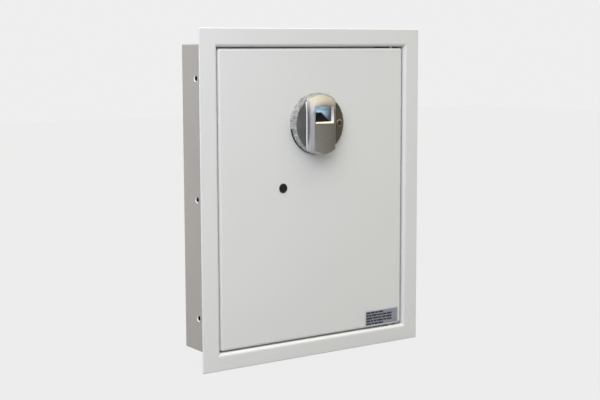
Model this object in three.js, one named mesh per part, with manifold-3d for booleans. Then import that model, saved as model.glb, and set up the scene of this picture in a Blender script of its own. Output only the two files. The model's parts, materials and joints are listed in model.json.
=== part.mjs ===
// Recessed wall safe: a sheet-steel cabinet with a trim flange, a right-hung door, a round knob that
// carries a fingerprint reader, three live bolts, an emergency key lock and a battery box.
//
// Millimetres. Origin: centre of the back plate's outer face. +X right, +Y into the wall, +Z up.
// The door group has its own origin at the middle of the door's front face, so there y is the depth
// behind that face. The rest state is door shut, bolts drawn, knob upright.
import * as THREE from "three";
import { mergeVertices } from "three/addons/utils/BufferGeometryUtils.js";
import Module from "manifold-3d";

const wasm = await Module();
wasm.setup();

// ---------------------------------------------------------------- driving dimensions

const TOUCH = 0.25; // running or assembly gap between two separate pieces
const STEEL = 1.5; // sheet thickness of the cabinet, trim, shelves and covers
const OVERRUN = 1; // how far a cut runs past the surface it opens
const SINK = 0.5; // how deep a joined feature reaches into the piece it stands on
const SHEET_CORNER = 0.5; // inside corner radius of a folded sheet

const BODY = { width: 362, height: 452, depth: 83, corner: 2 };
const FLANGE = { width: 400, height: 497, corner: 1, bend: 5, collarDepth: 18, lap: 3 };
const BEND_ROOM = 10; // how far the cut for the bend reaches past it
const OPENING = { width: 342.5, height: 444.5, x: 1, z: -0.75 };
const SIDE_HOLE = { radius: 3.75, rim: 5.75, sink: 1, fromFront: 44.5, z: [-176.5, 0, 176.5] };

const DOOR = { width: 337.5, height: 440, recess: 3, depth: 13, sheet: 2, edge: 3, innerCorner: 1 };
const HINGE = { x: 151, depth: 8, pin: 3, bore: 3.15, skinPlay: 0.1, bush: 5.75, bushGap: 0.75, notch: 17 };
const HINGE_END = { washer: 5.5, held: 12, short: 0.5 };
const HINGE_BLOCK = { width: 24, height: 14 };

const STOP = { lip: 8, topReach: 296, sideReach: 66 };
const BUFFER = { radius: 3.5, height: 1.75, inset: 4.5, z: 180 };
const SHELF = { levels: [-75, 75], front: -36, back: -2, lip: 10, sideGap: 2 };
const RAIL = { front: -34, back: -4, rise: 90, ledge: 6 };
const MAT = { thickness: 2, margin: 3 };

const KNOB = { x: 1, z: 107.5, base: 46.25, face: 43.75, height: 12, rim: 1, lip: 2, wall: 2.5 };
const KNOB_BACK = { shell: 3, hub: 9, gap: 0.5 };
const GRIP = { halfWidth: 24.5, shoulder: 17, height: 11.5, reach: 43.25, edge: 1.5 };
const GRIP_DOME = { length: 18.75, reach: 45.5 }; // overhangs the sloping ring at the top
const GRIP_ROLL = { draft: 0.75, pull: 1, share: 0.8 };
const WINDOW = { left: -17, right: 15.5, low: 0.5, high: 27, depth: 5.5, bevel: 2.75, lip: 0.5, glass: 1.5 };
const STATUS = { x: 35.5, ring: 5.5, lens: 3.5, stand: 1.25, slope: 0.75, sunk: 0.5 };
const SPINDLE = { radius: 4, bore: 4.15, end: 16.5, bush: 6.75, bushHole: 7, flange: 11, bushEnd: 10 };
const CRANK = { disc: 15, thickness: 2.5, radius: 10, pin: 2.5, pinEnd: 20, startAngle: 30 };
const CRANK_SLOT = { sidePlay: 0.3, endPlay: 0.75, corner: 1 };

const BOLT = { radius: 7, depth: 26, tip: -168.5, seat: -130, z: [-140, 0, 140], chamfer: 1, throw: 10 };
const BAR = { depth: 17, sheet: 2, right: -94, reach: 152, back: 33 };
const ARM = { low: 104, high: 130, end: 14 };
const GUIDE = { x: -151, wall: 2, base: -137, reach: 155, depth: 35, bore: 7.25 };
const POST = { x: -117, z: 75, shaft: 3, collar: 5, head: 5.5, headHeight: 2, slot: 3.3 };

const SOLENOID = { x: -60, halfWidth: 10, low: 62, high: 88, front: 9, back: 27, bore: 3.3, floor: 1 };
const SOLENOID_FOOT = { inset: 2, short: 4 };
const PLUNGER = { radius: 3, foot: 67.5, top: 103.5, collar: 5.5, collarLow: 99 };
const SPRING = { coil: 4.25, wire: 0.5, turns: 5, stepsPerTurn: 12, low: 88.5, high: 98.75 };
const NOTCH = { halfWidth: 4.5, rise: 4 };

const LOCK = { x: -58.5, z: 13.25, hole: 6, barrel: 6.75, bore: 4.1, plug: 3.95, end: 28.5 };
const LOCK_FLANGE = { radius: 9, height: 2 };
const KEYWAY = { halfWidth: 0.6, halfHeight: 3, depth: 12 };
const CAM = { start: 26.5, thickness: 2, hub: 8, tip: 4, length: 18 };
const CAP = { head: 6.75, ease: 1, height: 1.5, stem: 5.6, stemEnd: 1.5 };

const COVER = { left: -154, right: 138, reach: 198, back: 38, corner: 3, boltHole: 8.5 };
const BOLT_HOLE_DEPTH = 3; // cuts the cover's left wall only
const SCREW = { inset: 9, shank: 3, hole: 3.3, head: 4.75, headEase: 1, headHeight: 2, foot: 2.25 };
const BOARD = { left: 30, right: 96, low: 46, high: 146, depth: 6, thickness: 1.5 };
const SPACER = { radius: 3, inset: 5 };
// What stands on the board: middle, half sizes and height of each block, and the round sounder.
const CHIPS = {
  processor: { x: 62, z: 100, halfX: 8, halfZ: 8, height: 2 },
  readerPlug: { x: 35, z: 107, halfX: 3, halfZ: 11, height: 6 },
  batteryPlug: { x: 83, z: 135.5, halfX: 9, halfZ: 3.5, height: 5 },
  driver: { x: 50, z: 128, halfX: 6, halfZ: 6, height: 4 },
};
const SWITCH = { half: 3, height: 3 };
const SOUNDER = { x: 82, z: 80, radius: 6, height: 6 };
const BUTTON = { x: 63, z: 60, radius: 4, flange: 5.5, stem: 1.5, foot: 12.5, top: 41, hole: 4.25 };
const BUTTON_FLANGE = { low: 2, high: 0.5 }; // below the inside of the cover
const CELL = { radius: 7.1, rest: 0.4, length: 49, nub: 2.75, nubLength: 1.5, pitch: 14.5, count: 4 };
const BOX = { x: 61, z: -11, halfWidth: 31, halfHeight: 29, front: 20, wall: 1.5 };
const LID = { overlap: 2, thickness: 1.5, travel: 62, rail: 2, lip: 1, lipHeight: 0.75 };
const RIDGE = { count: 3, pitch: 3, inset: 8, height: 0.75, half: 12 };
const LABEL = { x: 129.5, z: -205.5, width: 67.5, height: 26.5, corner: 1, thickness: 0.25 };
const CABLE = { radius: 1.5, steps: 20 };
// The points each cable passes through, from its plug on the board: [x, depth, z].
const READER_ROUTE = [
  [31.5, 11, 107],
  [26, 11, 107],
  [19, 7, 104],
  [12.5, 6.5, 107.5],
  [9.5, 7, 107.5],
];
const BATTERY_ROUTE = [
  [83, 10, 131],
  [83, 12, 124],
  [100, 14, 100],
  [101, 16, 30],
  [99, 24, -4],
  [94, 28, -8],
];

const ROUND = 32; // sides of a round piece that shows
const SMALL_ROUND = 16; // sides of a small round piece
const BORE_ROUND = 24; // sides of a bolt and of the holes bored for it
const KNOB_ROUND = 48; // sides of the knob
const TINY_ROUND = 12; // sides of a spacer, and of the arcs on the key cam
const BEND_STEPS = 4; // flats round the flange's bend
const DOME_STEPS = 6; // flats from the grip's front to the knob's edge

// Planes worked out from the dimensions above.
const FRONT = -BODY.depth;
const COLLAR_END = FRONT + FLANGE.collarDepth;
const INNER_X = BODY.width / 2 - STEEL;
const INNER_Z = BODY.height / 2 - STEEL;
const OPEN_LEFT = OPENING.x - OPENING.width / 2;
const OPEN_TOP = OPENING.z + OPENING.height / 2;
const OPEN_BOTTOM = OPENING.z - OPENING.height / 2;
const DOOR_FACE = FRONT + DOOR.recess;
const DOOR_TOP = DOOR.height / 2;
const COVER_FACE = COVER.back + STEEL;

// ---------------------------------------------------------------- materials

function finish(color, roughness, metalness) {
  return new THREE.MeshStandardMaterial({ color, roughness, metalness });
}

const MATERIAL = {
  paint: finish(0xd8d8d4, 0.5, 0.1),
  bodyPaint: finish(0xb2aea6, 0.55, 0.1),
  zinc: finish(0xa9adb0, 0.4, 0.85),
  steel: finish(0x8f9396, 0.35, 0.9),
  castSilver: finish(0x9c9da0, 0.3, 0.85),
  darkMetal: finish(0x58585a, 0.35, 0.8),
  chrome: finish(0xe4e4e2, 0.1, 1),
  glass: finish(0x0c0f14, 0.05, 0),
  brass: finish(0xb5975a, 0.35, 0.9),
  blackPlastic: finish(0x1b1b1c, 0.45, 0),
  redPlastic: finish(0xb02a22, 0.4, 0),
  board: finish(0x245c3a, 0.5, 0),
  cell: finish(0x3a4654, 0.35, 0.3),
  rubber: finish(0x2a2a2b, 0.85, 0),
  felt: finish(0x4a4a4d, 0.95, 0),
  label: finish(0xa7aab4, 0.35, 0.5),
};

// ---------------------------------------------------------------- solids

// A closed three.js geometry as a solid that can be joined and cut. A geometry whose faces point
// inwards, as a profile drawn the other way round gives, is turned outside out.
function solid(geometry) {
  const plain = geometry.index ? geometry.toNonIndexed() : geometry.clone();
  plain.deleteAttribute("normal");
  plain.deleteAttribute("uv");
  const merged = mergeVertices(plain, 1e-3);
  const vertProperties = merged.attributes.position.array;
  const triVerts = new Uint32Array(merged.index.array);
  const made = new wasm.Manifold(new wasm.Mesh({ numProp: 3, vertProperties, triVerts }));
  if (made.volume() > 0) return made;
  triVerts.reverse();
  return new wasm.Manifold(new wasm.Mesh({ numProp: 3, vertProperties, triVerts }));
}

// The surface of a solid as a geometry to draw.
function surface(body) {
  const mesh = body.getMesh();
  const geometry = new THREE.BufferGeometry();
  geometry.setAttribute("position", new THREE.BufferAttribute(mesh.vertProperties, 3));
  geometry.setIndex(new THREE.BufferAttribute(mesh.triVerts, 1));
  geometry.computeVertexNormals();
  return geometry;
}

// A block between two corners.
function block(x0, x1, y0, y1, z0, z1) {
  const geometry = new THREE.BoxGeometry(x1 - x0, y1 - y0, z1 - z0);
  return solid(geometry.translate((x0 + x1) / 2, (y0 + y1) / 2, (z0 + z1) / 2));
}

// A lathe turns about y; these lay it along another axis.
const TURN_TO = {
  y: (geometry) => geometry,
  z: (geometry) => geometry.rotateX(Math.PI / 2),
  x: (geometry) => geometry.rotateZ(-Math.PI / 2),
};

// A turned piece about an axis through the origin. The profile holds [radius, distance] pairs and
// starts and ends on the axis, or closes on itself.
function turned(axis, profile, sides = SMALL_ROUND) {
  const ring = profile.map(([radius, distance]) => new THREE.Vector2(radius, distance));
  if (profile[0][0] > 0) ring.push(ring[0].clone());
  return solid(TURN_TO[axis](new THREE.LatheGeometry(ring, sides)));
}

// A plain round bar from one distance to another along an axis.
function rod(axis, radius, from, to, sides = SMALL_ROUND) {
  return turned(axis, [[0, from], [radius, from], [radius, to], [0, to]], sides);
}

// A pipe: the bar with a bore.
function pipe(axis, outer, inner, from, to, sides = SMALL_ROUND) {
  return turned(axis, [[inner, from], [outer, from], [outer, to], [inner, to]], sides);
}

// A rounded rectangle in the x-z plane.
function panel(width, height, corner, x = 0, z = 0) {
  const shape = new THREE.Shape();
  const [w, h] = [width / 2 - corner, height / 2 - corner];
  shape.absarc(x + w, z + h, corner, 0, Math.PI / 2);
  shape.absarc(x - w, z + h, corner, Math.PI / 2, Math.PI);
  shape.absarc(x - w, z - h, corner, Math.PI, 1.5 * Math.PI);
  shape.absarc(x + w, z - h, corner, 1.5 * Math.PI, 2 * Math.PI);
  shape.closePath();
  return shape;
}

// A polygon in the x-z plane from corner pairs.
function outline(corners) {
  return new THREE.Shape(corners.map(([x, z]) => new THREE.Vector2(x, z)));
}

// A plane shape made thick along y, from y0 to y1. A bevel rounds the edges of both faces.
function plate(shape, y0, y1, bevel = 0, curveSegments = 4) {
  const geometry = new THREE.ExtrudeGeometry(shape, {
    depth: y1 - y0 - 2 * bevel,
    bevelEnabled: bevel > 0,
    bevelThickness: bevel,
    bevelSize: bevel,
    bevelOffset: -bevel,
    bevelSegments: 3,
    curveSegments,
  });
  return solid(geometry.rotateX(Math.PI / 2).translate(0, y1 - bevel, 0));
}

// ---------------------------------------------------------------- scene graph

const safe = new THREE.Group();
const cabinet = new THREE.Group();
const door = new THREE.Group();
const knob = new THREE.Group();
const keyLock = new THREE.Group();
door.position.set(OPENING.x, DOOR_FACE, OPENING.z);
knob.position.set(KNOB.x, 0, KNOB.z);
keyLock.position.set(LOCK.x, 0, LOCK.z);
safe.add(cabinet, door);
door.add(knob, keyLock);

function add(group, name, body, material, position = [0, 0, 0]) {
  const mesh = new THREE.Mesh(surface(body), material);
  mesh.name = name;
  mesh.position.set(...position);
  group.add(mesh);
}

// ---------------------------------------------------------------- cabinet

// A square-sided frame with mitred corners: a four-sided lathe whose corners are pushed out to the
// opening. The profile holds [distance outside the opening, y] pairs and closes on itself.
function mitredFrame(profile, width, height, x, z) {
  const inset = Math.min(...profile.map(([out]) => out)) - 1;
  const ring = [...profile, profile[0]].map(([out, y]) => new THREE.Vector2(out - inset, y));
  const geometry = new THREE.LatheGeometry(ring, 4, Math.PI / 4);
  const points = geometry.getAttribute("position");
  for (let i = 0; i < points.count; i++) {
    const out = Math.hypot(points.getX(i), points.getZ(i)) + inset;
    const cornerX = Math.sign(points.getX(i)) * (width / 2 + out) + x;
    const cornerZ = Math.sign(points.getZ(i)) * (height / 2 + out) + z;
    points.setXYZ(i, cornerX, points.getY(i), cornerZ);
  }
  return solid(geometry);
}

// A quarter circle from the flange's face round to the collar, as mitredFrame points.
function bendArc(radius) {
  return Array.from({ length: BEND_STEPS + 1 }, (_, step) => {
    const angle = ((step / BEND_STEPS) * Math.PI) / 2;
    return [FLANGE.bend - radius * Math.sin(angle), FRONT + FLANGE.bend - radius * Math.cos(angle)];
  });
}

// The bend from the flange's face into the collar, then the collar itself.
function collarProfile() {
  const overlap = FLANGE.bend + FLANGE.lap;
  return [
    [overlap, FRONT],
    ...bendArc(FLANGE.bend),
    [0, COLLAR_END],
    [STEEL, COLLAR_END],
    ...bendArc(FLANGE.bend - STEEL).reverse(),
    [overlap, FRONT + STEEL],
  ];
}

// The space that the flange and its bend take, which the cabinet's walls are trimmed to.
function bendRoomProfile() {
  const beyond = FLANGE.bend + BEND_ROOM;
  return [
    [beyond, FRONT],
    [0, FRONT],
    [0, FRONT + FLANGE.bend],
    ...bendArc(FLANGE.bend - STEEL - TOUCH).reverse(),
    [beyond, FRONT + STEEL + TOUCH],
  ];
}

// Trim flange: a flat frame on the wall's face, bent inwards to a collar round the door.
function frontFlange() {
  const { width, height, x, z } = OPENING;
  const clear = 2 * FLANGE.bend;
  const face = panel(FLANGE.width, FLANGE.height, FLANGE.corner);
  face.holes.push(panel(width + clear, height + clear, SHEET_CORNER, x, z));
  const notch = [HINGE.x + OPENING.x - HINGE.notch / 2, HINGE.x + OPENING.x + HINGE.notch / 2];
  const notchBox = [...notch, FRONT + FLANGE.bend, COLLAR_END + OVERRUN];
  return plate(face, FRONT, FRONT + STEEL)
    .add(mitredFrame(collarProfile(), width, height, x, z))
    .subtract(block(...notchBox, OPEN_TOP - OVERRUN, OPEN_TOP + STEEL + OVERRUN))
    .subtract(block(...notchBox, OPEN_BOTTOM - STEEL - OVERRUN, OPEN_BOTTOM + OVERRUN));
}

// Four folded walls with three sunk mounting holes in each side.
function bodyWrap() {
  const tube = panel(BODY.width, BODY.height, BODY.corner);
  tube.holes.push(panel(2 * INNER_X, 2 * INNER_Z, SHEET_CORNER));
  const { width, height, x, z } = OPENING;
  const trimmed = mitredFrame(bendRoomProfile(), width, height, x, z);
  let body = plate(tube, FRONT, -STEEL).subtract(trimmed);
  const holeY = FRONT + SIDE_HOLE.fromFront;
  for (const side of [-1, 1]) {
    const face = (side * BODY.width) / 2;
    const cutter = [
      [0, face + side * OVERRUN],
      [SIDE_HOLE.rim + OVERRUN, face + side * OVERRUN],
      [SIDE_HOLE.radius, face - side * SIDE_HOLE.sink],
      [SIDE_HOLE.radius, face - side * 2 * STEEL],
      [0, face - side * 2 * STEEL],
    ];
    for (const holeZ of SIDE_HOLE.z) {
      body = body.subtract(turned("x", cutter, BORE_ROUND).translate([0, holeY, holeZ]));
    }
  }
  return body;
}

function hingeBush(from, to) {
  return pipe("z", HINGE.bush, HINGE.bore, from, to);
}

// Flat corner plate behind the door's free edge: along the top (or bottom) and part of the side.
function doorStop(side) {
  const edge = side > 0 ? OPEN_TOP : OPEN_BOTTOM;
  const outerX = OPEN_LEFT - STEEL;
  const outerZ = edge + side * STEEL;
  const inner = [OPEN_LEFT + STOP.lip, edge - side * STOP.lip];
  const corners = [
    [outerX, outerZ],
    [outerX + STOP.topReach, outerZ],
    [outerX + STOP.topReach, inner[1]],
    inner,
    [inner[0], edge - side * STOP.sideReach],
    [outerX, edge - side * STOP.sideReach],
  ];
  return plate(outline(corners), COLLAR_END, COLLAR_END + STEEL);
}

// Removable shelf: a tray sheet with a turned-down front lip.
function shelf() {
  const half = INNER_X - STEEL - SHELF.sideGap;
  const sheet = block(-half, half, SHELF.front, SHELF.back, 0, STEEL);
  return sheet.add(block(-half, half, SHELF.front, SHELF.front + STEEL, -SHELF.lip, STEEL));
}

// Upright strip on a side wall with one ledge under each shelf.
function shelfRail(side) {
  const wall = side * INNER_X;
  const face = wall - side * STEEL;
  const tip = face - side * RAIL.ledge;
  const span = (a, b) => [Math.min(a, b), Math.max(a, b)];
  let rail = block(...span(wall, face), RAIL.front, RAIL.back, -RAIL.rise, RAIL.rise);
  for (const z of SHELF.levels) {
    rail = rail.add(block(...span(wall, tip), RAIL.front, RAIL.back, z - STEEL, z));
  }
  return rail;
}

add(cabinet, "body_wrap", bodyWrap(), MATERIAL.bodyPaint);
const backPanel = panel(BODY.width, BODY.height, BODY.corner);
add(cabinet, "back_plate", plate(backPanel, -STEEL, 0), MATERIAL.bodyPaint);
add(cabinet, "front_flange", frontFlange(), MATERIAL.paint);
add(cabinet, "door_stop_upper", doorStop(1), MATERIAL.paint);
add(cabinet, "door_stop_lower", doorStop(-1), MATERIAL.paint);

const hingeAt = [OPENING.x + HINGE.x, DOOR_FACE + HINGE.depth, 0];
const washerLow = OPEN_BOTTOM;
const washerHigh = OPENING.z - DOOR_TOP - TOUCH;
add(cabinet, "hinge_bush_top", hingeBush(OPEN_TOP + HINGE.bushGap, INNER_Z), MATERIAL.zinc, hingeAt);
add(cabinet, "hinge_bush_bottom", hingeBush(-INNER_Z, washerLow), MATERIAL.zinc, hingeAt);
const washer = pipe("z", HINGE_END.washer, HINGE.bore, washerLow, washerHigh);
add(cabinet, "thrust_washer", washer, MATERIAL.zinc, hingeAt);

for (const [name, side] of [["upper", 1], ["lower", -1]]) {
  const pad = rod("y", BUFFER.radius, -BUFFER.height, 0);
  const place = [OPEN_LEFT + BUFFER.inset, COLLAR_END, side * BUFFER.z];
  add(cabinet, `door_buffer_${name}`, pad, MATERIAL.rubber, place);
}
SHELF.levels.forEach((z, i) => {
  add(cabinet, ["shelf_lower", "shelf_upper"][i], shelf(), MATERIAL.paint, [0, 0, z]);
});
add(cabinet, "shelf_rail_left", shelfRail(-1), MATERIAL.zinc);
add(cabinet, "shelf_rail_right", shelfRail(1), MATERIAL.zinc);
const matHalf = INNER_X - MAT.margin;
const mat = block(-matHalf, matHalf, SHELF.front, SHELF.back, 0, MAT.thickness);
add(cabinet, "floor_mat", mat, MATERIAL.felt, [0, 0, -INNER_Z]);

// ---------------------------------------------------------------- door leaf

// Folded pan with rounded front edges, holes for the knob spindle and the key lock, and a hole in
// the top and bottom edge for each hinge pin.
function doorSkin() {
  const { width, height, sheet, edge, depth, innerCorner } = DOOR;
  const pan = plate(panel(width, height, edge + TOUCH), 0, depth + 2 * edge, edge, 3);
  const rear = block(-width, width, depth, 3 * depth, -height, height);
  const hollow = panel(width - 2 * sheet, height - 2 * sheet, innerCorner);
  const pinHole = rod("z", HINGE.bore + HINGE.skinPlay, -height, height);
  return pan
    .subtract(rear)
    .subtract(plate(hollow, sheet, depth + OVERRUN))
    .subtract(rod("y", SPINDLE.bushHole, -OVERRUN, sheet + OVERRUN).translate([KNOB.x, 0, KNOB.z]))
    .subtract(rod("y", LOCK.hole, -OVERRUN, sheet + OVERRUN).translate([LOCK.x, 0, LOCK.z]))
    .subtract(pinHole.translate([HINGE.x, HINGE.depth, 0]));
}

// Welded block that carries a hinge pin behind the edge of the pan.
function hingeBlock(side) {
  const { width, height } = HINGE_BLOCK;
  const top = DOOR_TOP - DOOR.sheet;
  const low = side > 0 ? top - height : -top;
  const body = block(-width / 2, width / 2, DOOR.sheet, DOOR.depth, low, low + height);
  const pinHole = rod("z", HINGE.bore, -DOOR_TOP, DOOR_TOP);
  return body.subtract(pinHole.translate([0, HINGE.depth, 0]));
}

// The hole that a bolt at one height passes through.
function boltBore(radius, from, to, z) {
  return rod("x", radius, from, to, BORE_ROUND).translate([0, BOLT.depth, z]);
}

// Bolt guide: an L with three round holes, welded behind the free edge of the door.
function boltGuide() {
  const { x, wall, base, reach, depth, bore } = GUIDE;
  let guide = block(x, x + wall, DOOR.sheet, depth, -reach, reach);
  guide = guide.add(block(x, base, DOOR.sheet, DOOR.sheet + wall, -reach, reach));
  for (const z of BOLT.z) {
    guide = guide.subtract(boltBore(bore, x - OVERRUN, x + wall + OVERRUN, z));
  }
  return guide;
}

// Shouldered post that carries the bolt bar and keeps it from lifting.
function guidePost() {
  const low = BAR.depth - TOUCH;
  const high = BAR.depth + BAR.sheet + TOUCH;
  return turned("y", [
    [0, DOOR.sheet],
    [POST.collar, DOOR.sheet],
    [POST.collar, low],
    [POST.shaft, low],
    [POST.shaft, high],
    [POST.head, high],
    [POST.head, high + POST.headHeight],
    [0, high + POST.headHeight],
  ]);
}

add(door, "door_skin", doorSkin(), MATERIAL.paint);
const pinSpan = {
  top: [DOOR_TOP - DOOR.sheet - HINGE_END.held, INNER_Z - OPENING.z - HINGE_END.short],
  bottom: [-INNER_Z - OPENING.z + HINGE_END.short, -DOOR_TOP + DOOR.sheet + HINGE_END.held],
};
for (const [name, side] of [["top", 1], ["bottom", -1]]) {
  add(door, `hinge_block_${name}`, hingeBlock(side), MATERIAL.zinc, [HINGE.x, 0, 0]);
  const pin = rod("z", HINGE.pin, ...pinSpan[name]);
  add(door, `hinge_pin_${name}`, pin, MATERIAL.steel, [HINGE.x, HINGE.depth, 0]);
}
add(door, "bolt_guide", boltGuide(), MATERIAL.zinc);
add(door, "guide_post_upper", guidePost(), MATERIAL.steel, [POST.x, 0, POST.z]);
add(door, "guide_post_lower", guidePost(), MATERIAL.steel, [POST.x, 0, -POST.z]);

const ratingPlate = panel(LABEL.width, LABEL.height, LABEL.corner);
add(door, "rating_label", plate(ratingPlate, -LABEL.thickness, 0), MATERIAL.label, [
  LABEL.x,
  0,
  LABEL.z,
]);

// Threaded bush that carries the knob's spindle through the door.
const bush = turned("y", [
  [SPINDLE.bore, TOUCH],
  [SPINDLE.bush, TOUCH],
  [SPINDLE.bush, DOOR.sheet],
  [SPINDLE.flange, DOOR.sheet],
  [SPINDLE.flange, DOOR.sheet + STEEL],
  [SPINDLE.bush, DOOR.sheet + STEEL],
  [SPINDLE.bush, SPINDLE.bushEnd],
  [SPINDLE.bore, SPINDLE.bushEnd],
]);
add(door, "spindle_bush", bush, MATERIAL.brass, [KNOB.x, 0, KNOB.z]);

// ---------------------------------------------------------------- knob and fingerprint reader

const FACE = -KNOB.height; // the plane of the knob's dark face
const CREST = FACE - GRIP.height; // the flat front of the grip

// Tapered outer ring of the knob.
function knobRim() {
  const inner = KNOB.face - KNOB.rim;
  return turned(
    "y",
    [[inner, FACE], [KNOB.face, FACE], [KNOB.base, -KNOB.lip], [KNOB.base, -TOUCH], [inner, -TOUCH]],
    KNOB_ROUND,
  );
}

// Hollow-backed face with a hub for the spindle.
function knobDisc() {
  const radius = KNOB.face - KNOB.rim - TOUCH;
  const shell = FACE + KNOB_BACK.shell;
  const { hub, gap } = KNOB_BACK;
  return turned(
    "y",
    [
      [0, FACE],
      [radius, FACE],
      [radius, -gap],
      [radius - KNOB.wall, -gap],
      [radius - KNOB.wall, shell],
      [hub, shell],
      [hub, -gap],
      [SPINDLE.bore, -gap],
      [SPINDLE.bore, shell],
      [0, shell],
    ],
    KNOB_ROUND,
  );
}

// Two turned halves: above the middle the grip falls away as a dome to the knob's edge, below it
// runs out square with a small chamfer.
function gripRound() {
  const { height, reach, edge } = GRIP;
  const { length, reach: domeReach } = GRIP_DOME;
  const fall = Array.from({ length: DOME_STEPS + 1 }, (_, step) => {
    const angle = ((step / DOME_STEPS) * Math.PI) / 2;
    return [domeReach - length + length * Math.cos(angle), FACE - height * Math.sin(angle)];
  });
  const upper = turned("y", [[0, FACE], ...fall, [0, CREST]], KNOB_ROUND);
  const square = [[0, FACE], [reach, FACE], [reach, CREST + edge], [reach - edge, CREST], [0, CREST]];
  const lower = turned("y", square, KNOB_ROUND);
  const below = block(-KNOB.base, KNOB.base, CREST - OVERRUN, FACE + OVERRUN, -KNOB.base, 0);
  return upper.add(lower.intersect(below));
}

// The grip is the overlap of a bar with its cross-section and the turned halves. A sunk window for
// the reader is then cut into its upper half.
function knobGrip() {
  const { halfWidth, shoulder } = GRIP;
  const reach = GRIP_DOME.reach;
  const section = new THREE.Shape();
  const { draft, pull, share } = GRIP_ROLL;
  const rollStart = CREST + (halfWidth - shoulder) * share;
  section.moveTo(halfWidth, FACE);
  section.lineTo(-halfWidth, FACE);
  section.lineTo(-halfWidth + draft, rollStart);
  section.quadraticCurveTo(-halfWidth + pull, CREST, -shoulder, CREST);
  section.lineTo(shoulder, CREST);
  section.quadraticCurveTo(halfWidth - pull, CREST, halfWidth - draft, rollStart);
  section.closePath();
  const tall = { depth: 2 * reach, bevelEnabled: false, curveSegments: 6 };
  const sectionBar = new THREE.ExtrudeGeometry(section, tall).translate(0, 0, -reach);

  const width = WINDOW.right - WINDOW.left;
  const rise = WINDOW.high - WINDOW.low;
  const pocket = block(0, width, -OVERRUN, WINDOW.depth, 0, rise);
  return solid(sectionBar)
    .intersect(gripRound())
    .subtract(pocket.translate([WINDOW.left, CREST, WINDOW.low]));
}

// Bright frame in the window, its inner edges bevelled towards the glass.
function sensorBezel() {
  const width = WINDOW.right - WINDOW.left - 2 * TOUCH;
  const height = WINDOW.high - WINDOW.low - 2 * TOUCH;
  const depth = WINDOW.depth - WINDOW.glass - TOUCH;
  const frame = block(-width / 2, width / 2, 0, depth, -height / 2, height / 2);
  const inset = WINDOW.lip + WINDOW.bevel;
  const [w, h] = [width / 2 - inset, height / 2 - inset];
  const mouth = new THREE.ExtrudeGeometry(outline([[-w, -h], [w, -h], [w, h], [-w, h]]), {
    depth: OVERRUN,
    bevelThickness: depth + SINK,
    bevelSize: WINDOW.bevel,
    bevelSegments: 1,
  });
  return frame.subtract(solid(mouth.rotateX(Math.PI / 2)));
}

const windowCentre = [(WINDOW.left + WINDOW.right) / 2, CREST, (WINDOW.low + WINDOW.high) / 2];
add(knob, "knob_rim", knobRim(), MATERIAL.castSilver);
add(knob, "knob_disc", knobDisc(), MATERIAL.darkMetal);
add(knob, "knob_grip", knobGrip(), MATERIAL.castSilver);
add(knob, "sensor_bezel", sensorBezel(), MATERIAL.chrome, windowCentre);
const glassHalf = [(WINDOW.right - WINDOW.left) / 2 - TOUCH, (WINDOW.high - WINDOW.low) / 2 - TOUCH];
const glass = block(-glassHalf[0], glassHalf[0], 0, WINDOW.glass, -glassHalf[1], glassHalf[1]);
add(knob, "sensor_glass", glass, MATERIAL.glass, [
  windowCentre[0],
  CREST + WINDOW.depth - WINDOW.glass,
  windowCentre[2],
]);

const statusAt = [STATUS.x, FACE, 0];
const ring = turned("y", [
  [STATUS.lens + TOUCH, 0],
  [STATUS.ring, 0],
  [STATUS.ring, -STATUS.stand / 2],
  [STATUS.ring - STATUS.slope, -STATUS.stand],
  [STATUS.lens + TOUCH, -STATUS.stand],
]);
add(knob, "status_ring", ring, MATERIAL.chrome, statusAt);
const lens = rod("y", STATUS.lens, -STATUS.sunk, 0);
add(knob, "status_lens", lens, MATERIAL.glass, statusAt);

const spindle = rod("y", SPINDLE.radius, FACE + KNOB_BACK.shell + TOUCH, SPINDLE.end);
add(knob, "knob_spindle", spindle, MATERIAL.steel);

// Crank disc on the spindle's end; its pin stands in the slot of the bolt bar.
const crankAngle = THREE.MathUtils.degToRad(CRANK.startAngle);
const crankPin = [CRANK.radius * Math.sin(crankAngle), 0, CRANK.radius * Math.cos(crankAngle)];
const crankStart = SPINDLE.end - CRANK.thickness;
const crank = pipe("y", CRANK.disc, SPINDLE.bore, crankStart, SPINDLE.end).add(
  rod("y", CRANK.pin, crankStart + SINK, CRANK.pinEnd).translate(crankPin),
);
add(knob, "drive_crank", crank, MATERIAL.steel);

// ---------------------------------------------------------------- bolt work

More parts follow.
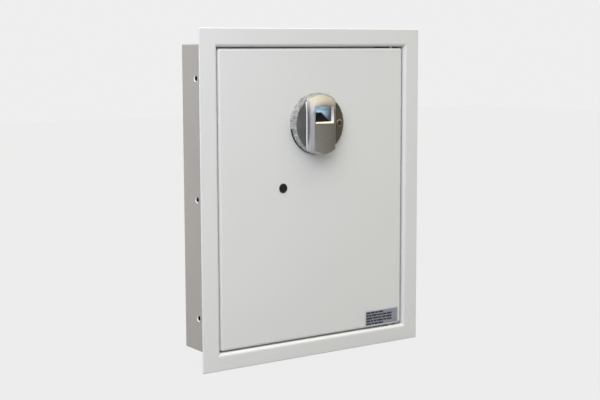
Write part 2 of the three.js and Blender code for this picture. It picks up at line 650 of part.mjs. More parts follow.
// Bolt bar: an L strip with an arm to the knob's crank, a slot for each post, an upright slot for
// the crank pin, and a notch in the arm that the plunger finds when the bolts are out.
function boltBar() {
  const strip = [
    [BOLT.seat, -BAR.reach],
    [BAR.right, -BAR.reach],
    [BAR.right, ARM.low],
    [SOLENOID.x + BOLT.throw - NOTCH.halfWidth, ARM.low],
    [SOLENOID.x + BOLT.throw - NOTCH.halfWidth, ARM.low + NOTCH.rise],
    [SOLENOID.x + BOLT.throw + NOTCH.halfWidth, ARM.low + NOTCH.rise],
    [SOLENOID.x + BOLT.throw + NOTCH.halfWidth, ARM.low],
    [ARM.end, ARM.low],
    [ARM.end, ARM.high],
    [BAR.right, ARM.high],
    [BAR.right, BAR.reach],
    [BOLT.seat, BAR.reach],
  ];
  const shape = outline(strip);
  for (const z of [-POST.z, POST.z]) {
    const slot = panel(2 * POST.slot + BOLT.throw, 2 * POST.slot, POST.slot, POST.x + BOLT.throw / 2, z);
    shape.holes.push(slot);
  }
  const pinX = KNOB.x + crankPin[0];
  const { sidePlay, endPlay, corner } = CRANK_SLOT;
  const slotLow = KNOB.z + crankPin[2] - CRANK.pin - endPlay;
  const slotHigh = KNOB.z + CRANK.radius + CRANK.pin + endPlay;
  const slotWidth = 2 * (CRANK.pin + sidePlay);
  const slotCentre = (slotLow + slotHigh) / 2;
  shape.holes.push(panel(slotWidth, slotHigh - slotLow, corner, pinX, slotCentre));
  const flange = block(BOLT.seat, BOLT.seat + BAR.sheet, BAR.depth, BAR.back, -BAR.reach, BAR.reach);
  return plate(shape, BAR.depth, BAR.depth + BAR.sheet).add(flange);
}

const boltShape = [
  [0, BOLT.tip],
  [BOLT.radius - BOLT.chamfer, BOLT.tip],
  [BOLT.radius, BOLT.tip + BOLT.chamfer],
  [BOLT.radius, BOLT.seat],
  [0, BOLT.seat],
];
add(door, "bolt_bar", boltBar(), MATERIAL.zinc);
BOLT.z.forEach((z, i) => {
  const name = ["bolt_lower", "bolt_middle", "bolt_upper"][i];
  add(door, name, turned("x", boltShape, BORE_ROUND), MATERIAL.steel, [0, BOLT.depth, z]);
});

// ---------------------------------------------------------------- solenoid lock

const solenoidDepth = (SOLENOID.front + SOLENOID.back) / 2;
function solenoidFrame() {
  const { halfWidth, low, high, front, back, bore, floor } = SOLENOID;
  const { inset, short } = SOLENOID_FOOT;
  return block(-halfWidth, halfWidth, front, back, low, high)
    .add(block(inset - halfWidth, halfWidth - inset, DOOR.sheet, front, low + short, high - short))
    .subtract(rod("z", bore, low + floor, high + OVERRUN).translate([0, solenoidDepth, 0]));
}

// Coil spring: a round wire along a helix.
function coilSpring(coil, wire, turns, low, high) {
  class Helix extends THREE.Curve {
    getPoint(t, target = new THREE.Vector3()) {
      const angle = 2 * Math.PI * turns * t;
      return target.set(coil * Math.cos(angle), coil * Math.sin(angle), low + (high - low) * t);
    }
  }
  const section = new THREE.Shape();
  section.absarc(0, 0, wire, 0, 2 * Math.PI);
  const steps = turns * SPRING.stepsPerTurn;
  const tube = { steps, extrudePath: new Helix(), curveSegments: 3 };
  return solid(new THREE.ExtrudeGeometry(section, tube));
}

const plunger = turned("z", [
  [0, PLUNGER.foot],
  [PLUNGER.radius, PLUNGER.foot],
  [PLUNGER.radius, PLUNGER.collarLow],
  [PLUNGER.collar, PLUNGER.collarLow],
  [PLUNGER.collar, PLUNGER.collarLow + STEEL],
  [PLUNGER.radius, PLUNGER.collarLow + STEEL],
  [PLUNGER.radius, PLUNGER.top],
  [0, PLUNGER.top],
]);
const { coil, wire, turns, low: springLow, high: springHigh } = SPRING;
const plungerAt = [SOLENOID.x, solenoidDepth, 0];
add(door, "solenoid_frame", solenoidFrame(), MATERIAL.zinc, [SOLENOID.x, 0, 0]);
add(door, "solenoid_plunger", plunger, MATERIAL.steel, plungerAt);
const spring = coilSpring(coil, wire, turns, springLow + wire, springHigh - wire);
add(door, "plunger_spring", spring, MATERIAL.steel, plungerAt);

// ---------------------------------------------------------------- emergency key lock

const barrelEnd = CAM.start - TOUCH;
const barrel = turned("y", [
  [LOCK.bore, DOOR.sheet],
  [LOCK_FLANGE.radius, DOOR.sheet],
  [LOCK_FLANGE.radius, DOOR.sheet + LOCK_FLANGE.height],
  [LOCK.barrel, DOOR.sheet + LOCK_FLANGE.height],
  [LOCK.barrel, barrelEnd],
  [LOCK.bore, barrelEnd],
]);
add(keyLock, "key_barrel", barrel, MATERIAL.brass);

const { halfWidth: slit, halfHeight: slitRise, depth: slitEnd } = KEYWAY;
const keyway = block(-slit, slit, 0, slitEnd, -slitRise, slitRise);
const plug = rod("y", LOCK.plug, DOOR.sheet + TOUCH, LOCK.end).subtract(keyway);
add(keyLock, "key_plug", plug, MATERIAL.brass);

// Flat lever on the rear of the plug.
function keyCam() {
  const lean = Math.acos((CAM.hub - CAM.tip) / CAM.length);
  const shape = new THREE.Shape();
  shape.absarc(0, 0, CAM.hub, lean, 2 * Math.PI - lean);
  shape.absarc(CAM.length, 0, CAM.tip, -lean, lean);
  shape.closePath();
  const lever = plate(shape, CAM.start, CAM.start + CAM.thickness, 0, TINY_ROUND);
  return lever.subtract(rod("y", LOCK.bore, CAM.start - OVERRUN, LOCK.end + OVERRUN));
}
add(keyLock, "key_cam", keyCam(), MATERIAL.zinc);

const cap = turned(
  "y",
  [
    [0, -CAP.height],
    [CAP.head - CAP.ease, -CAP.height],
    [CAP.head, -CAP.height / 2],
    [CAP.head, 0],
    [CAP.stem, 0],
    [CAP.stem, CAP.stemEnd],
    [0, CAP.stemEnd],
  ],
  ROUND,
);
add(keyLock, "keyhole_cap", cap, MATERIAL.blackPlastic);

// ---------------------------------------------------------------- rear cover and electronics

// Deep tray over the mechanism: bolts pass its left wall, the battery box opens through its back,
// and two rails hold the sliding battery lid.
function mechanismCover() {
  const { left, right, reach, back, corner, boltHole } = COVER;
  const [width, centre] = [right - left, (left + right) / 2];
  const wall = [back - OVERRUN, COVER_FACE + OVERRUN];
  const shell = plate(panel(width, 2 * reach, corner, centre), DOOR.sheet, COVER_FACE);
  const inside = panel(width - 2 * STEEL, 2 * (reach - STEEL), corner - STEEL, centre);
  let cover = shell.subtract(plate(inside, DOOR.sheet - OVERRUN, back));
  for (const z of BOLT.z) {
    cover = cover.subtract(boltBore(boltHole, left - OVERRUN, left + BOLT_HOLE_DEPTH, z));
  }
  for (const [x, z] of screwPlaces()) {
    cover = cover.subtract(rod("y", SCREW.hole, ...wall).translate([x, 0, z]));
  }
  cover = cover.subtract(
    rod("y", BUTTON.hole, ...wall).translate([BUTTON.x, 0, BUTTON.z]),
  );
  const mouth = [BOX.halfWidth - 2 * BOX.wall, BOX.halfHeight - 2 * BOX.wall];
  cover = cover.subtract(
    block(
      BOX.x - mouth[0],
      BOX.x + mouth[0],
      ...wall,
      BOX.z - mouth[1],
      BOX.z + mouth[1],
    ),
  );
  return cover.add(lidRail(1)).add(lidRail(-1));
}

function screwPlaces() {
  const xs = [COVER.left + SCREW.inset, COVER.right - SCREW.inset];
  const zs = [-COVER.reach + SCREW.inset, COVER.reach - SCREW.inset];
  return xs.flatMap((x) => zs.map((z) => [x, z]));
}

// Lid outline in the door's frame.
const lidEdge = {
  left: BOX.x - BOX.halfWidth - LID.overlap,
  right: BOX.x + BOX.halfWidth + LID.overlap,
  low: BOX.z - BOX.halfHeight - LID.overlap,
  high: BOX.z + BOX.halfHeight + LID.overlap,
};

// One rail above or below the lid: an upright with a lip that overhangs the lid's edge.
function lidRail(side) {
  const edge = (side > 0 ? lidEdge.high : lidEdge.low) + side * TOUCH;
  const outer = edge + side * LID.rail;
  const lip = edge - side * LID.lip;
  const start = lidEdge.left - LID.travel;
  const lidTop = COVER_FACE + LID.thickness + 2 * TOUCH;
  const span = (a, b) => [Math.min(a, b), Math.max(a, b)];
  const upright = block(start, lidEdge.right, COVER_FACE - SINK, lidTop, ...span(edge, outer));
  return upright.add(block(start, lidEdge.right, lidTop, lidTop + LID.lipHeight, ...span(lip, outer)));
}

// Sliding lid with three raised finger ridges.
function batteryLid() {
  const from = COVER_FACE + TOUCH;
  const to = from + LID.thickness;
  let lid = block(lidEdge.left, lidEdge.right, from, to, lidEdge.low, lidEdge.high);
  const { count, pitch, inset, height, half } = RIDGE;
  for (let step = 0; step < count; step++) {
    const x = lidEdge.right - inset - pitch * step;
    lid = lid.add(block(x, x + STEEL, to - SINK, to + height, BOX.z - half, BOX.z + half));
  }
  return lid;
}

// Open tray for four cells, hung behind the mouth in the cover.
function batteryBox() {
  const { x, z, halfWidth, halfHeight, front, wall } = BOX;
  const tray = block(x - halfWidth, x + halfWidth, front, COVER.back, z - halfHeight, z + halfHeight);
  const [w, h] = [halfWidth - wall, halfHeight - wall];
  return tray.subtract(block(x - w, x + w, front + wall, COVER.back + OVERRUN, z - h, z + h));
}

const cellShape = [
  [0, 0],
  [CELL.radius, 0],
  [CELL.radius, CELL.length],
  [CELL.nub, CELL.length],
  [CELL.nub, CELL.length + CELL.nubLength],
  [0, CELL.length + CELL.nubLength],
];

// Circuit board on four spacers, with a processor, two connectors, a sounder and the enrol switch.
function circuitBoard() {
  const { left, right, low, high, depth, thickness } = BOARD;
  const { radius, inset } = SPACER;
  const top = depth + thickness;
  let board = block(left, right, depth, top, low, high);
  for (const x of [left + inset, right - inset]) {
    for (const z of [low + inset, high - inset]) {
      board = board.add(rod("y", radius, DOOR.sheet, depth + SINK, TINY_ROUND).translate([x, 0, z]));
    }
  }
  const { half, height } = SWITCH;
  const enrolSwitch = { x: BUTTON.x, z: BUTTON.z, halfX: half, halfZ: half, height };
  for (const chip of [...Object.values(CHIPS), enrolSwitch]) {
    const { x, z, halfX, halfZ } = chip;
    board = board.add(block(x - halfX, x + halfX, top - SINK, top + chip.height, z - halfZ, z + halfZ));
  }
  const sounder = rod("y", SOUNDER.radius, top - SINK, top + SOUNDER.height);
  return board.add(sounder.translate([SOUNDER.x, 0, SOUNDER.z]));
}

function resetButton() {
  return turned("y", [
    [0, BUTTON.foot],
    [BUTTON.stem, BUTTON.foot],
    [BUTTON.stem, COVER.back - BUTTON_FLANGE.low],
    [BUTTON.flange, COVER.back - BUTTON_FLANGE.low],
    [BUTTON.flange, COVER.back - BUTTON_FLANGE.high],
    [BUTTON.radius, COVER.back - BUTTON_FLANGE.high],
    [BUTTON.radius, BUTTON.top],
    [0, BUTTON.top],
  ]);
}

// A round cable along a smooth curve through the given points.
function cable(points) {
  const path = new THREE.CatmullRomCurve3(points.map(([x, y, z]) => new THREE.Vector3(x, y, z)));
  const section = new THREE.Shape();
  section.absarc(0, 0, CABLE.radius, 0, 2 * Math.PI);
  const tube = { steps: CABLE.steps, extrudePath: path, curveSegments: 4 };
  return solid(new THREE.ExtrudeGeometry(section, tube));
}

add(door, "mechanism_cover", mechanismCover(), MATERIAL.paint);
screwPlaces().forEach(([x, z], i) => {
  const screw = turned("y", [
    [0, SCREW.foot],
    [SCREW.shank, SCREW.foot],
    [SCREW.shank, COVER_FACE],
    [SCREW.head, COVER_FACE],
    [SCREW.head - SCREW.headEase, COVER_FACE + SCREW.headHeight],
    [0, COVER_FACE + SCREW.headHeight],
  ]);
  add(door, `cover_screw_${i + 1}`, screw, MATERIAL.steel, [x, 0, z]);
});
add(door, "circuit_board", circuitBoard(), MATERIAL.board);
add(door, "reset_button", resetButton(), MATERIAL.redPlastic, [BUTTON.x, 0, BUTTON.z]);
add(door, "battery_box", batteryBox(), MATERIAL.blackPlastic);
add(door, "battery_lid", batteryLid(), MATERIAL.blackPlastic);
for (let i = 0; i < CELL.count; i++) {
  const x = BOX.x + (i - (CELL.count - 1) / 2) * CELL.pitch;
  const z = BOX.z - (CELL.length + CELL.nubLength) / 2;
  const depth = BOX.front + BOX.wall + CELL.radius + CELL.rest;
  add(door, `battery_cell_${i + 1}`, turned("z", cellShape), MATERIAL.cell, [x, depth, z]);
}
add(door, "reader_cable", cable(READER_ROUTE), MATERIAL.rubber);
add(door, "battery_cable", cable(BATTERY_ROUTE), MATERIAL.rubber);

export default safe;
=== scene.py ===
"""Looks of the recessed wall safe: finer meshes, finishes, stage and camera round the CAD frame.

Lengths are in metres, with x to the right, y to the rear and z up. Pieces are built at rest, in place.
"""
import json
import math
import random

import bmesh
import bpy
from mathutils import Matrix, Vector

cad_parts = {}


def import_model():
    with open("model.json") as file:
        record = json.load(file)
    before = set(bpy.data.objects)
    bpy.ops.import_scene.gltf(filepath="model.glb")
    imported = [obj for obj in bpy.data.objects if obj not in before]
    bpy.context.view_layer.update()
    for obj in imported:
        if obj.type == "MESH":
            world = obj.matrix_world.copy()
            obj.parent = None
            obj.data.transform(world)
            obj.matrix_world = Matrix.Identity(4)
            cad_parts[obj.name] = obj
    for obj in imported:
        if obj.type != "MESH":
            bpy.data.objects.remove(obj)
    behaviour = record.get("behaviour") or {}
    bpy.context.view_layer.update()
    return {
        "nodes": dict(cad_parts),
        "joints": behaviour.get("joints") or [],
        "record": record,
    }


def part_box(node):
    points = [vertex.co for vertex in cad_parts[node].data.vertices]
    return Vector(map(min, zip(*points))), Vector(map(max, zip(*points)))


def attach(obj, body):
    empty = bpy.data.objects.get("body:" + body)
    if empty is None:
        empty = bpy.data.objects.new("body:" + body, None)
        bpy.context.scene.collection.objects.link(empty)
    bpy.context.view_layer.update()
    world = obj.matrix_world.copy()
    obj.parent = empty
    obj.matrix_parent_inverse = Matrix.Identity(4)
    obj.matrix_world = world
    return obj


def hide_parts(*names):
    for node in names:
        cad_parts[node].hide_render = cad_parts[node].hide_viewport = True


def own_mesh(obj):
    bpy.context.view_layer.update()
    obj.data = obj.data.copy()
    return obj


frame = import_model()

MM = 0.001
TOUCH = 0.25 * MM  # gap between two separate pieces
STEEL = 1.5 * MM  # sheet thickness of the cabinet and trim
WORN_EDGE = 0.7 * MM  # how far the wear reaches from an edge
SHARP = math.radians(32)  # edges that turn more than this stay sharp

RECORD = frame["record"]
BODY_OF = {n: body for body, nodes in RECORD["behaviour"]["bodies"].items() for n in nodes}
SLOT_OF = {part["node"]: part["material_slot"] for part in RECORD["subparts"]}
JOINTS = {joint["name"]: joint for joint in frame["joints"]}

# ---------------------------------------------------------------- node materials


def node(tree, kind, settings=None, **inputs):
    """Adds a shader node. An input may be a value, or a socket to link; _ in its name is a space."""
    made = tree.nodes.new("ShaderNode" + kind)
    for key, value in (settings or {}).items():
        setattr(made, key, value)
    for key, value in inputs.items():
        name = int(key[1:]) if key[1:].isdigit() else key.replace("_", " ")
        if isinstance(value, bpy.types.NodeSocket):
            tree.links.new(value, made.inputs[name])
        else:
            made.inputs[name].default_value = value
    return made


def rgba(color):
    return (*color, 1.0)


def shade(color, factor):
    return tuple(min(1.0, c * factor) for c in color)


def blend_colors(tree, factor, first, second):
    mix = tree.nodes.new("ShaderNodeMix")
    mix.data_type = "RGBA"
    for socket, value in ((0, factor), (6, first), (7, second)):
        if isinstance(value, bpy.types.NodeSocket):
            tree.links.new(value, mix.inputs[socket])
        else:
            mix.inputs[socket].default_value = value
    return mix.outputs[2]


def span(tree, value, low, high, to_low, to_high):
    """Maps a value from low..high to to_low..to_high, clamped."""
    made = node(tree, "MapRange", Value=value, From_Min=low, From_Max=high, To_Min=to_low, To_Max=to_high)
    return made.outputs[0]


def math_node(tree, operation, first, second=0.0):
    return node(tree, "Math", {"operation": operation}, _0=first, _1=second).outputs[0]


def noise(tree, place, scale, detail=3.0, roughness=0.55):
    made = node(tree, "TexNoise", Vector=place, Scale=scale, Detail=detail, Roughness=roughness)
    return made.outputs[0]


def edge_mask(tree, radius):
    """1 along a piece's edges and 0 on its faces."""
    worn = node(tree, "Bevel", {"samples": 4}, Radius=radius).outputs[0]
    flat = node(tree, "NewGeometry").outputs["Normal"]
    dot = node(tree, "VectorMath", {"operation": "DOT_PRODUCT"}, _0=worn, _1=flat).outputs["Value"]
    return span(tree, dot, 0.998, 0.90, 0.0, 1.0)


def finish(name, color, roughness, metallic=0.0, grain=900.0, stretch=(1, 1, 1), bump=0.1, depth=0.05,
           tint=0.05, cloud=8.0, spread=0.08, wear=0.0, worn=(0.6, 0.6, 0.6), **extra):
    """A finish with grain, cloudy colour, uneven roughness and, where wear is set, rubbed edges.
    grain and cloud are noise scales, stretch pulls the grain out along x, y and z, bump and depth (mm) are
    its relief, tint and spread are how far colour and roughness vary, and worn is the rubbed colour."""
    material = bpy.data.materials.new(name)
    material.use_nodes = True
    tree = material.node_tree
    shader = tree.nodes["Principled BSDF"]
    place = node(tree, "TexCoord").outputs["Object"]
    along = node(tree, "Mapping", Vector=place, Scale=stretch).outputs[0]
    fine = noise(tree, along, grain)
    broad = noise(tree, place, cloud, 2.0)
    patchy = math_node(tree, "MULTIPLY_ADD", fine, 0.35)
    tree.links.new(span(tree, broad, 0.3, 0.7, 0.0, 0.65), patchy.node.inputs[2])
    base = blend_colors(tree, patchy, rgba(shade(color, 1 - tint)), rgba(shade(color, 1 + tint)))
    rough = span(tree, math_node(tree, "ADD", fine, broad), 0.7, 1.3, roughness - spread, roughness + spread)
    if wear:
        scuff = span(tree, noise(tree, place, 180.0, 4.0), 0.42, 0.62, 0.0, wear)
        rubbed = math_node(tree, "MULTIPLY", edge_mask(tree, WORN_EDGE), scuff)
        base = blend_colors(tree, rubbed, base, rgba(worn))
    tree.links.new(base, shader.inputs["Base Color"])
    tree.links.new(rough, shader.inputs["Roughness"])
    relief = node(tree, "Bump", Height=fine, Strength=bump, Distance=depth * MM)
    tree.links.new(relief.outputs[0], shader.inputs["Normal"])
    shader.inputs["Metallic"].default_value = metallic
    for key, value in extra.items():
        shader.inputs[key.replace("_", " ")].default_value = value
    return material


def reader_glass():
    """Optical window: black below a slant, and above it a painted reflection, cool and dimming towards the
    right. The painted reflection glows a little, because the thing it mirrors isn't in the scene."""
    material = finish("reader_glass", (0.02, 0.024, 0.03), 0.06, grain=40, bump=0.02, spread=0.02,
                      Specular_IOR_Level=0.2)
    tree = material.node_tree
    low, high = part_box("sensor_glass")
    coords = node(tree, "TexCoord").outputs["Object"]
    place = node(tree, "SeparateXYZ", Vector=coords)
    across = span(tree, place.outputs[0], low.x, high.x, 0.0, 1.0)
    up = span(tree, place.outputs[2], low.z, high.z, 0.0, 1.0)
    # Where the painted reflection shows: above a slant and in a band near the top.
    slant = math_node(tree, "ADD", across, math_node(tree, "MULTIPLY", up, 0.9))
    band = math_node(tree, "MULTIPLY", up, 1.55)
    lit = span(tree, math_node(tree, "MAXIMUM", slant, band), 0.96, 1.08, 0.0, 1.0)
    reflection_streak = noise(tree, node(tree, "Mapping", Vector=coords, Scale=(30, 30, 190)).outputs[0], 1.0, 2.0)
    bright = blend_colors(tree, span(tree, reflection_streak, 0.35, 0.65, 0.0, 1.0), rgba((0.20, 0.31, 0.42)),
                          rgba((0.42, 0.56, 0.70)))
    rightwards = math_node(tree, "SUBTRACT", across, math_node(tree, "MULTIPLY", up, 0.35))
    dim = span(tree, rightwards, 0.12, 0.72, 0.0, 1.0)
    painted_reflection = blend_colors(tree, dim, bright, rgba((0.055, 0.065, 0.08)))
    shader = tree.nodes["Principled BSDF"]
    shown = blend_colors(tree, lit, rgba((0.006, 0.006, 0.009)), painted_reflection)
    tree.links.new(shown, shader.inputs["Base Color"])
    # The painted reflection is also fed to emission, so it glows though the window is no lamp.
    tree.links.new(shown, shader.inputs["Emission Color"])
    shader.inputs["Emission Strength"].default_value = 0.6
    return material


def paint_shade_towards_right(material, color, start, end, most):
    """Paints shade into a knob finish: carries it over to a darker second colour, from start to end mm right
    of the knob's axis.
    """
    tree = material.node_tree
    base = tree.nodes["Principled BSDF"].inputs["Base Color"]
    across = node(tree, "SeparateXYZ", Vector=node(tree, "TexCoord").outputs["Object"]).outputs[0]
    axis_x = JOINTS["knob_turn"]["pos_m"][0]
    share = span(tree, across, axis_x + start * MM, axis_x + end * MM, 0.0, most)
    tree.links.new(blend_colors(tree, share, base.links[0].from_socket, rgba(color)), base)
    return material


def disc_metal():
    """Dark brushed metal, with painted shade: warmer and darker towards the right of the knob, where the grip
    shades it.
    """
    material = finish("dark_metal", (0.158, 0.160, 0.166), 0.4, 0.35, grain=1300, stretch=(1, 1, 0.03),
                      bump=0.14, tint=0.25, cloud=24, spread=0.1, wear=0.2, worn=(0.3, 0.3, 0.3))
    return paint_shade_towards_right(material, (0.105, 0.083, 0.048), -10, 28, 0.75)


def grip_metal():
    """Satin cast metal, with painted shade a little darker towards the right of the grip."""
    material = finish("cast_silver", (0.605, 0.61, 0.62), 0.24, 0.95, grain=1400, bump=0.06, tint=0.05,
                      cloud=30, spread=0.05, wear=0.35, worn=(0.85, 0.85, 0.84))
    return paint_shade_towards_right(material, (0.40, 0.385, 0.37), -16, 18, 1.0)


M = {
    "paint": finish("powder_coat", (0.78, 0.78, 0.775), 0.34, grain=1500, bump=0.10, depth=0.06, tint=0.015,
                    cloud=5, wear=0.10, worn=(0.88, 0.88, 0.87)),
    "hole_rim": finish("bare_rim", (0.80, 0.80, 0.79), 0.3, 0.2, grain=900, bump=0.08, tint=0.08, cloud=200),
    "body_paint": finish("body_coat", (0.455, 0.432, 0.40), 0.5, grain=1200, bump=0.16, depth=0.08, tint=0.05,
                         cloud=7, wear=0.25, worn=(0.66, 0.64, 0.6)),
    "zinc": finish("zinc_plate", (0.52, 0.54, 0.56), 0.33, 0.9, grain=500, bump=0.06, tint=0.14, cloud=55,
                   spread=0.12, wear=0.4, worn=(0.75, 0.76, 0.77)),
    "steel": finish("turned_steel", (0.50, 0.51, 0.52), 0.27, 0.95, grain=900, stretch=(6, 1, 6), bump=0.08,
                    tint=0.1, cloud=40, spread=0.1, wear=0.3, worn=(0.8, 0.8, 0.8)),
    "cast_silver": grip_metal(),
    "ring_silver": finish("ring_silver", (0.50, 0.51, 0.515), 0.28, 0.8, grain=420, stretch=(1, 0.5, 1),
                          bump=0.55, depth=0.25, tint=0.5, cloud=150, spread=0.16, wear=0.5,
                          worn=(0.9, 0.9, 0.9)),
    "status_bronze": finish("status_bronze", (0.36, 0.325, 0.25), 0.3, 0.8, grain=420, bump=0.1, tint=0.15,
                            cloud=150, spread=0.08, wear=0.3, worn=(0.6, 0.56, 0.48)),
    # Near black, for the low side of the knob ring's foot: painted shade.
    "foot_painted_shade": finish("foot_painted_shade", (0.02, 0.02, 0.022), 0.3, 0.5, grain=600, bump=0.1, tint=0.3, cloud=90),
    "dark_metal": disc_metal(),
    # Near white and not metal: on the grip's real bead, this colour is a painted highlight.
    "bead": finish("bead_painted_highlight", (0.98, 0.98, 1.0), 0.2, 0.0, grain=300, bump=0.02, tint=0.02, spread=0.03),
    "chrome": finish("bright_chrome", (0.90, 0.88, 0.84), 0.15, 0.85, grain=300, bump=0.02, tint=0.03,
                     spread=0.05, wear=0.2, worn=(1.0, 1.0, 1.0)),
    "lens": finish("dark_lens", (0.04, 0.028, 0.014), 0.08, grain=200, bump=0.02, Coat_Weight=0.8),
    "brass": finish("turned_brass", (0.60, 0.44, 0.18), 0.3, 0.95, grain=800, stretch=(5, 1, 5), bump=0.08,
                    tint=0.12, cloud=60, wear=0.3, worn=(0.85, 0.72, 0.42)),
    "black_plastic": finish("black_plastic", (0.011, 0.0105, 0.010), 0.5, grain=1800, bump=0.30, depth=0.1,
                            tint=0.2, cloud=40, wear=0.3, worn=(0.08, 0.08, 0.08), Specular_IOR_Level=0.3),
    "red_plastic": finish("red_plastic", (0.52, 0.03, 0.02), 0.32, grain=900, bump=0.08, tint=0.1, cloud=50),
    "board": finish("solder_mask", (0.02, 0.13, 0.055), 0.36, grain=700, stretch=(1, 1, 6), bump=0.3,
                    depth=0.08, tint=0.3, cloud=130),
    "chip": finish("chip_epoxy", (0.018, 0.018, 0.02), 0.55, grain=1600, bump=0.2, tint=0.2),
    "sleeve": finish("cell_sleeve", (0.05, 0.085, 0.14), 0.3, 0.5, grain=600, bump=0.04, tint=0.15, cloud=60),
    "band": finish("cell_band", (0.62, 0.40, 0.20), 0.28, 0.85, grain=600, bump=0.04, tint=0.1, cloud=60),
    "rubber": finish("rubber", (0.024, 0.024, 0.025), 0.8, grain=1500, bump=0.35, depth=0.1, tint=0.25,
                     cloud=50),
    "felt": finish("needle_felt", (0.075, 0.078, 0.085), 0.95, grain=2600, bump=0.9, depth=0.4, tint=0.35,
                   cloud=60, spread=0.04, Sheen_Weight=0.5),
    "foil": finish("label_foil", (0.66, 0.69, 0.72), 0.35, 0.3, grain=500, bump=0.05, tint=0.05, cloud=60),
    "field": finish("label_field", (0.34, 0.365, 0.43), 0.38, 0.3, grain=700, bump=0.06, tint=0.12, cloud=90),
    "ink": finish("label_ink", (0.038, 0.042, 0.058), 0.5, grain=1500, bump=0.1, tint=0.3, cloud=300),
    "glass": reader_glass(),
}
FINISH_OF_SLOT = {
    "trim_paint": "paint", "body_paint": "body_paint", "zinc_plate": "zinc", "steel": "steel",
    "cast_silver": "cast_silver", "dark_metal": "dark_metal", "chrome": "chrome", "reader_glass": "glass",
    "brass": "brass", "black_plastic": "black_plastic", "red_plastic": "red_plastic", "board": "board",
    "cell_sleeve": "sleeve", "rubber": "rubber", "felt": "felt", "label_foil": "foil",
}

# ---------------------------------------------------------------- mesh kit


def make(name, verts, faces, paints=None):
    """A closed mesh object from points and faces, its faces turned outwards and its curves smooth."""
    mesh = bpy.data.meshes.new(name)
    mesh.from_pydata([tuple(v) for v in verts], [], faces)
    if paints:
        mesh.polygons.foreach_set("material_index", paints)
    obj = bpy.data.objects.new(name, mesh)
    bpy.context.scene.collection.objects.link(obj)
    settle(obj)
    return obj


def settle(obj, merge=1e-7):
    """Merges doubled points, turns faces outwards and shades curves smooth up to a sharp angle."""
    work = bmesh.new()
    work.from_mesh(obj.data)
    bmesh.ops.remove_doubles(work, verts=work.verts, dist=merge)
    bmesh.ops.dissolve_degenerate(work, edges=work.edges, dist=merge)
    bmesh.ops.recalc_face_normals(work, faces=work.faces)
    work.to_mesh(obj.data)
    work.free()
    obj.data.polygons.foreach_set("use_smooth", [True] * len(obj.data.polygons))
    obj.data.set_sharp_from_angle(angle=SHARP)


def flat_sided(obj):
    """Weights a piece's normals by face area, so that rounded edges don't shade into its flat faces."""
    change = obj.modifiers.new("normals", "WEIGHTED_NORMAL")
    change.keep_sharp = True
    return obj


def ring(x0, x1, z0, z1, y, corner, steps=6):
    """A rounded rectangle of points at one depth."""
    corner = max(corner, 0.02 * MM)
    points = []
    centres = ((x1 - corner, z1 - corner), (x0 + corner, z1 - corner), (x0 + corner, z0 + corner),
               (x1 - corner, z0 + corner))
    for quarter, (cx, cz) in enumerate(centres):
        for step in range(steps + 1):
            angle = (quarter + step / steps) * math.pi / 2
            points.append((cx + corner * math.cos(angle), y, cz + corner * math.sin(angle)))
    return points


def loft(name, rings, closed=False, paint_of=None):
    """Skins rings of equal count. An open loft is capped at both ends, a closed one joins them."""
    count = len(rings[0])
    verts = [p for one in rings for p in one]
    faces, paints = [], []
    for i in range(len(rings) if closed else len(rings) - 1):
        j = (i + 1) % len(rings)
        for k in range(count):
            n = (k + 1) % count
            faces.append((i * count + k, i * count + n, j * count + n, j * count + k))
            paints.append(paint_of(i, k) if paint_of else 0)
    if not closed:
        faces.append(tuple(range(count)))
        faces.append(tuple((len(rings) - 1) * count + k for k in range(count)))
        paints += [0, 0]
    return make(name, verts, faces, paints if paint_of else None)


def fillet(points, radius, closed=False, steps=4):
    """Rounds the corners of a 2-D outline. An open outline keeps its two ends."""
    out = []
    count = len(points)
    for i, (px, py) in enumerate(points):
        if not closed and i in (0, count - 1):
            out.append((px, py))
            continue
        here = Vector((px, py))
        before = Vector(points[i - 1]) - here
        after = Vector(points[(i + 1) % count]) - here
        if before.length < 1e-9 or after.length < 1e-9:
            continue
        turn = before.angle(after, math.pi)
        if abs(turn - math.pi) < 0.15:
            out.append((px, py))
            continue
        cut = min(radius / math.tan(turn / 2), 0.45 * before.length, 0.45 * after.length)
        start = here + before.normalized() * cut
        end = here + after.normalized() * cut
        for step in range(steps + 1):
            t = step / steps
            out.append(tuple((1 - t) ** 2 * start + 2 * t * (1 - t) * here + t * t * end))
    return out


AXES = {"x": (Vector((1, 0, 0)), Vector((0, 1, 0)), Vector((0, 0, 1))),
        "y": (Vector((0, 1, 0)), Vector((0, 0, 1)), Vector((1, 0, 0))),
        "z": (Vector((0, 0, 1)), Vector((1, 0, 0)), Vector((0, 1, 0)))}


def lathe(name, axis, centre, profile, round_off=0.0, sides=96, paint_of=None, flutes=None):
    """Turns [radius, distance] points about an axis through centre. A profile that starts off the axis
    closes on itself. flutes(angle, distance) changes the radius round the piece."""
    closed = profile[0][0] > 1e-9
    if round_off:
        profile = fillet(profile, round_off, closed)
    along, first, second = AXES[axis]
    verts = []
    for radius, distance in profile:
        for k in range(sides):
            angle = 2 * math.pi * k / sides
            r = radius + (flutes(angle, distance) if flutes and radius > 1e-9 else 0.0)
            verts.append(Vector(centre) + along * distance
                         + (first * math.cos(angle) + second * math.sin(angle)) * r)
    faces, paints = [], []
    rows = len(profile)
    for i in range(rows if closed else rows - 1):
        j = (i + 1) % rows
        for k in range(sides):
            n = (k + 1) % sides
            faces.append((i * sides + k, i * sides + n, j * sides + n, j * sides + k))
            paints.append(paint_of(i, k) if paint_of else 0)
    return make(name, verts, faces, paints if paint_of else None)


def joined(objects):
    """Joins separate meshes that don't touch into one object."""
    work = bmesh.new()
    for obj in objects:
        work.from_mesh(obj.data)
    target = objects[0]
    work.to_mesh(target.data)
    work.free()
    for obj in objects[1:]:
        bpy.data.objects.remove(obj)
    return target


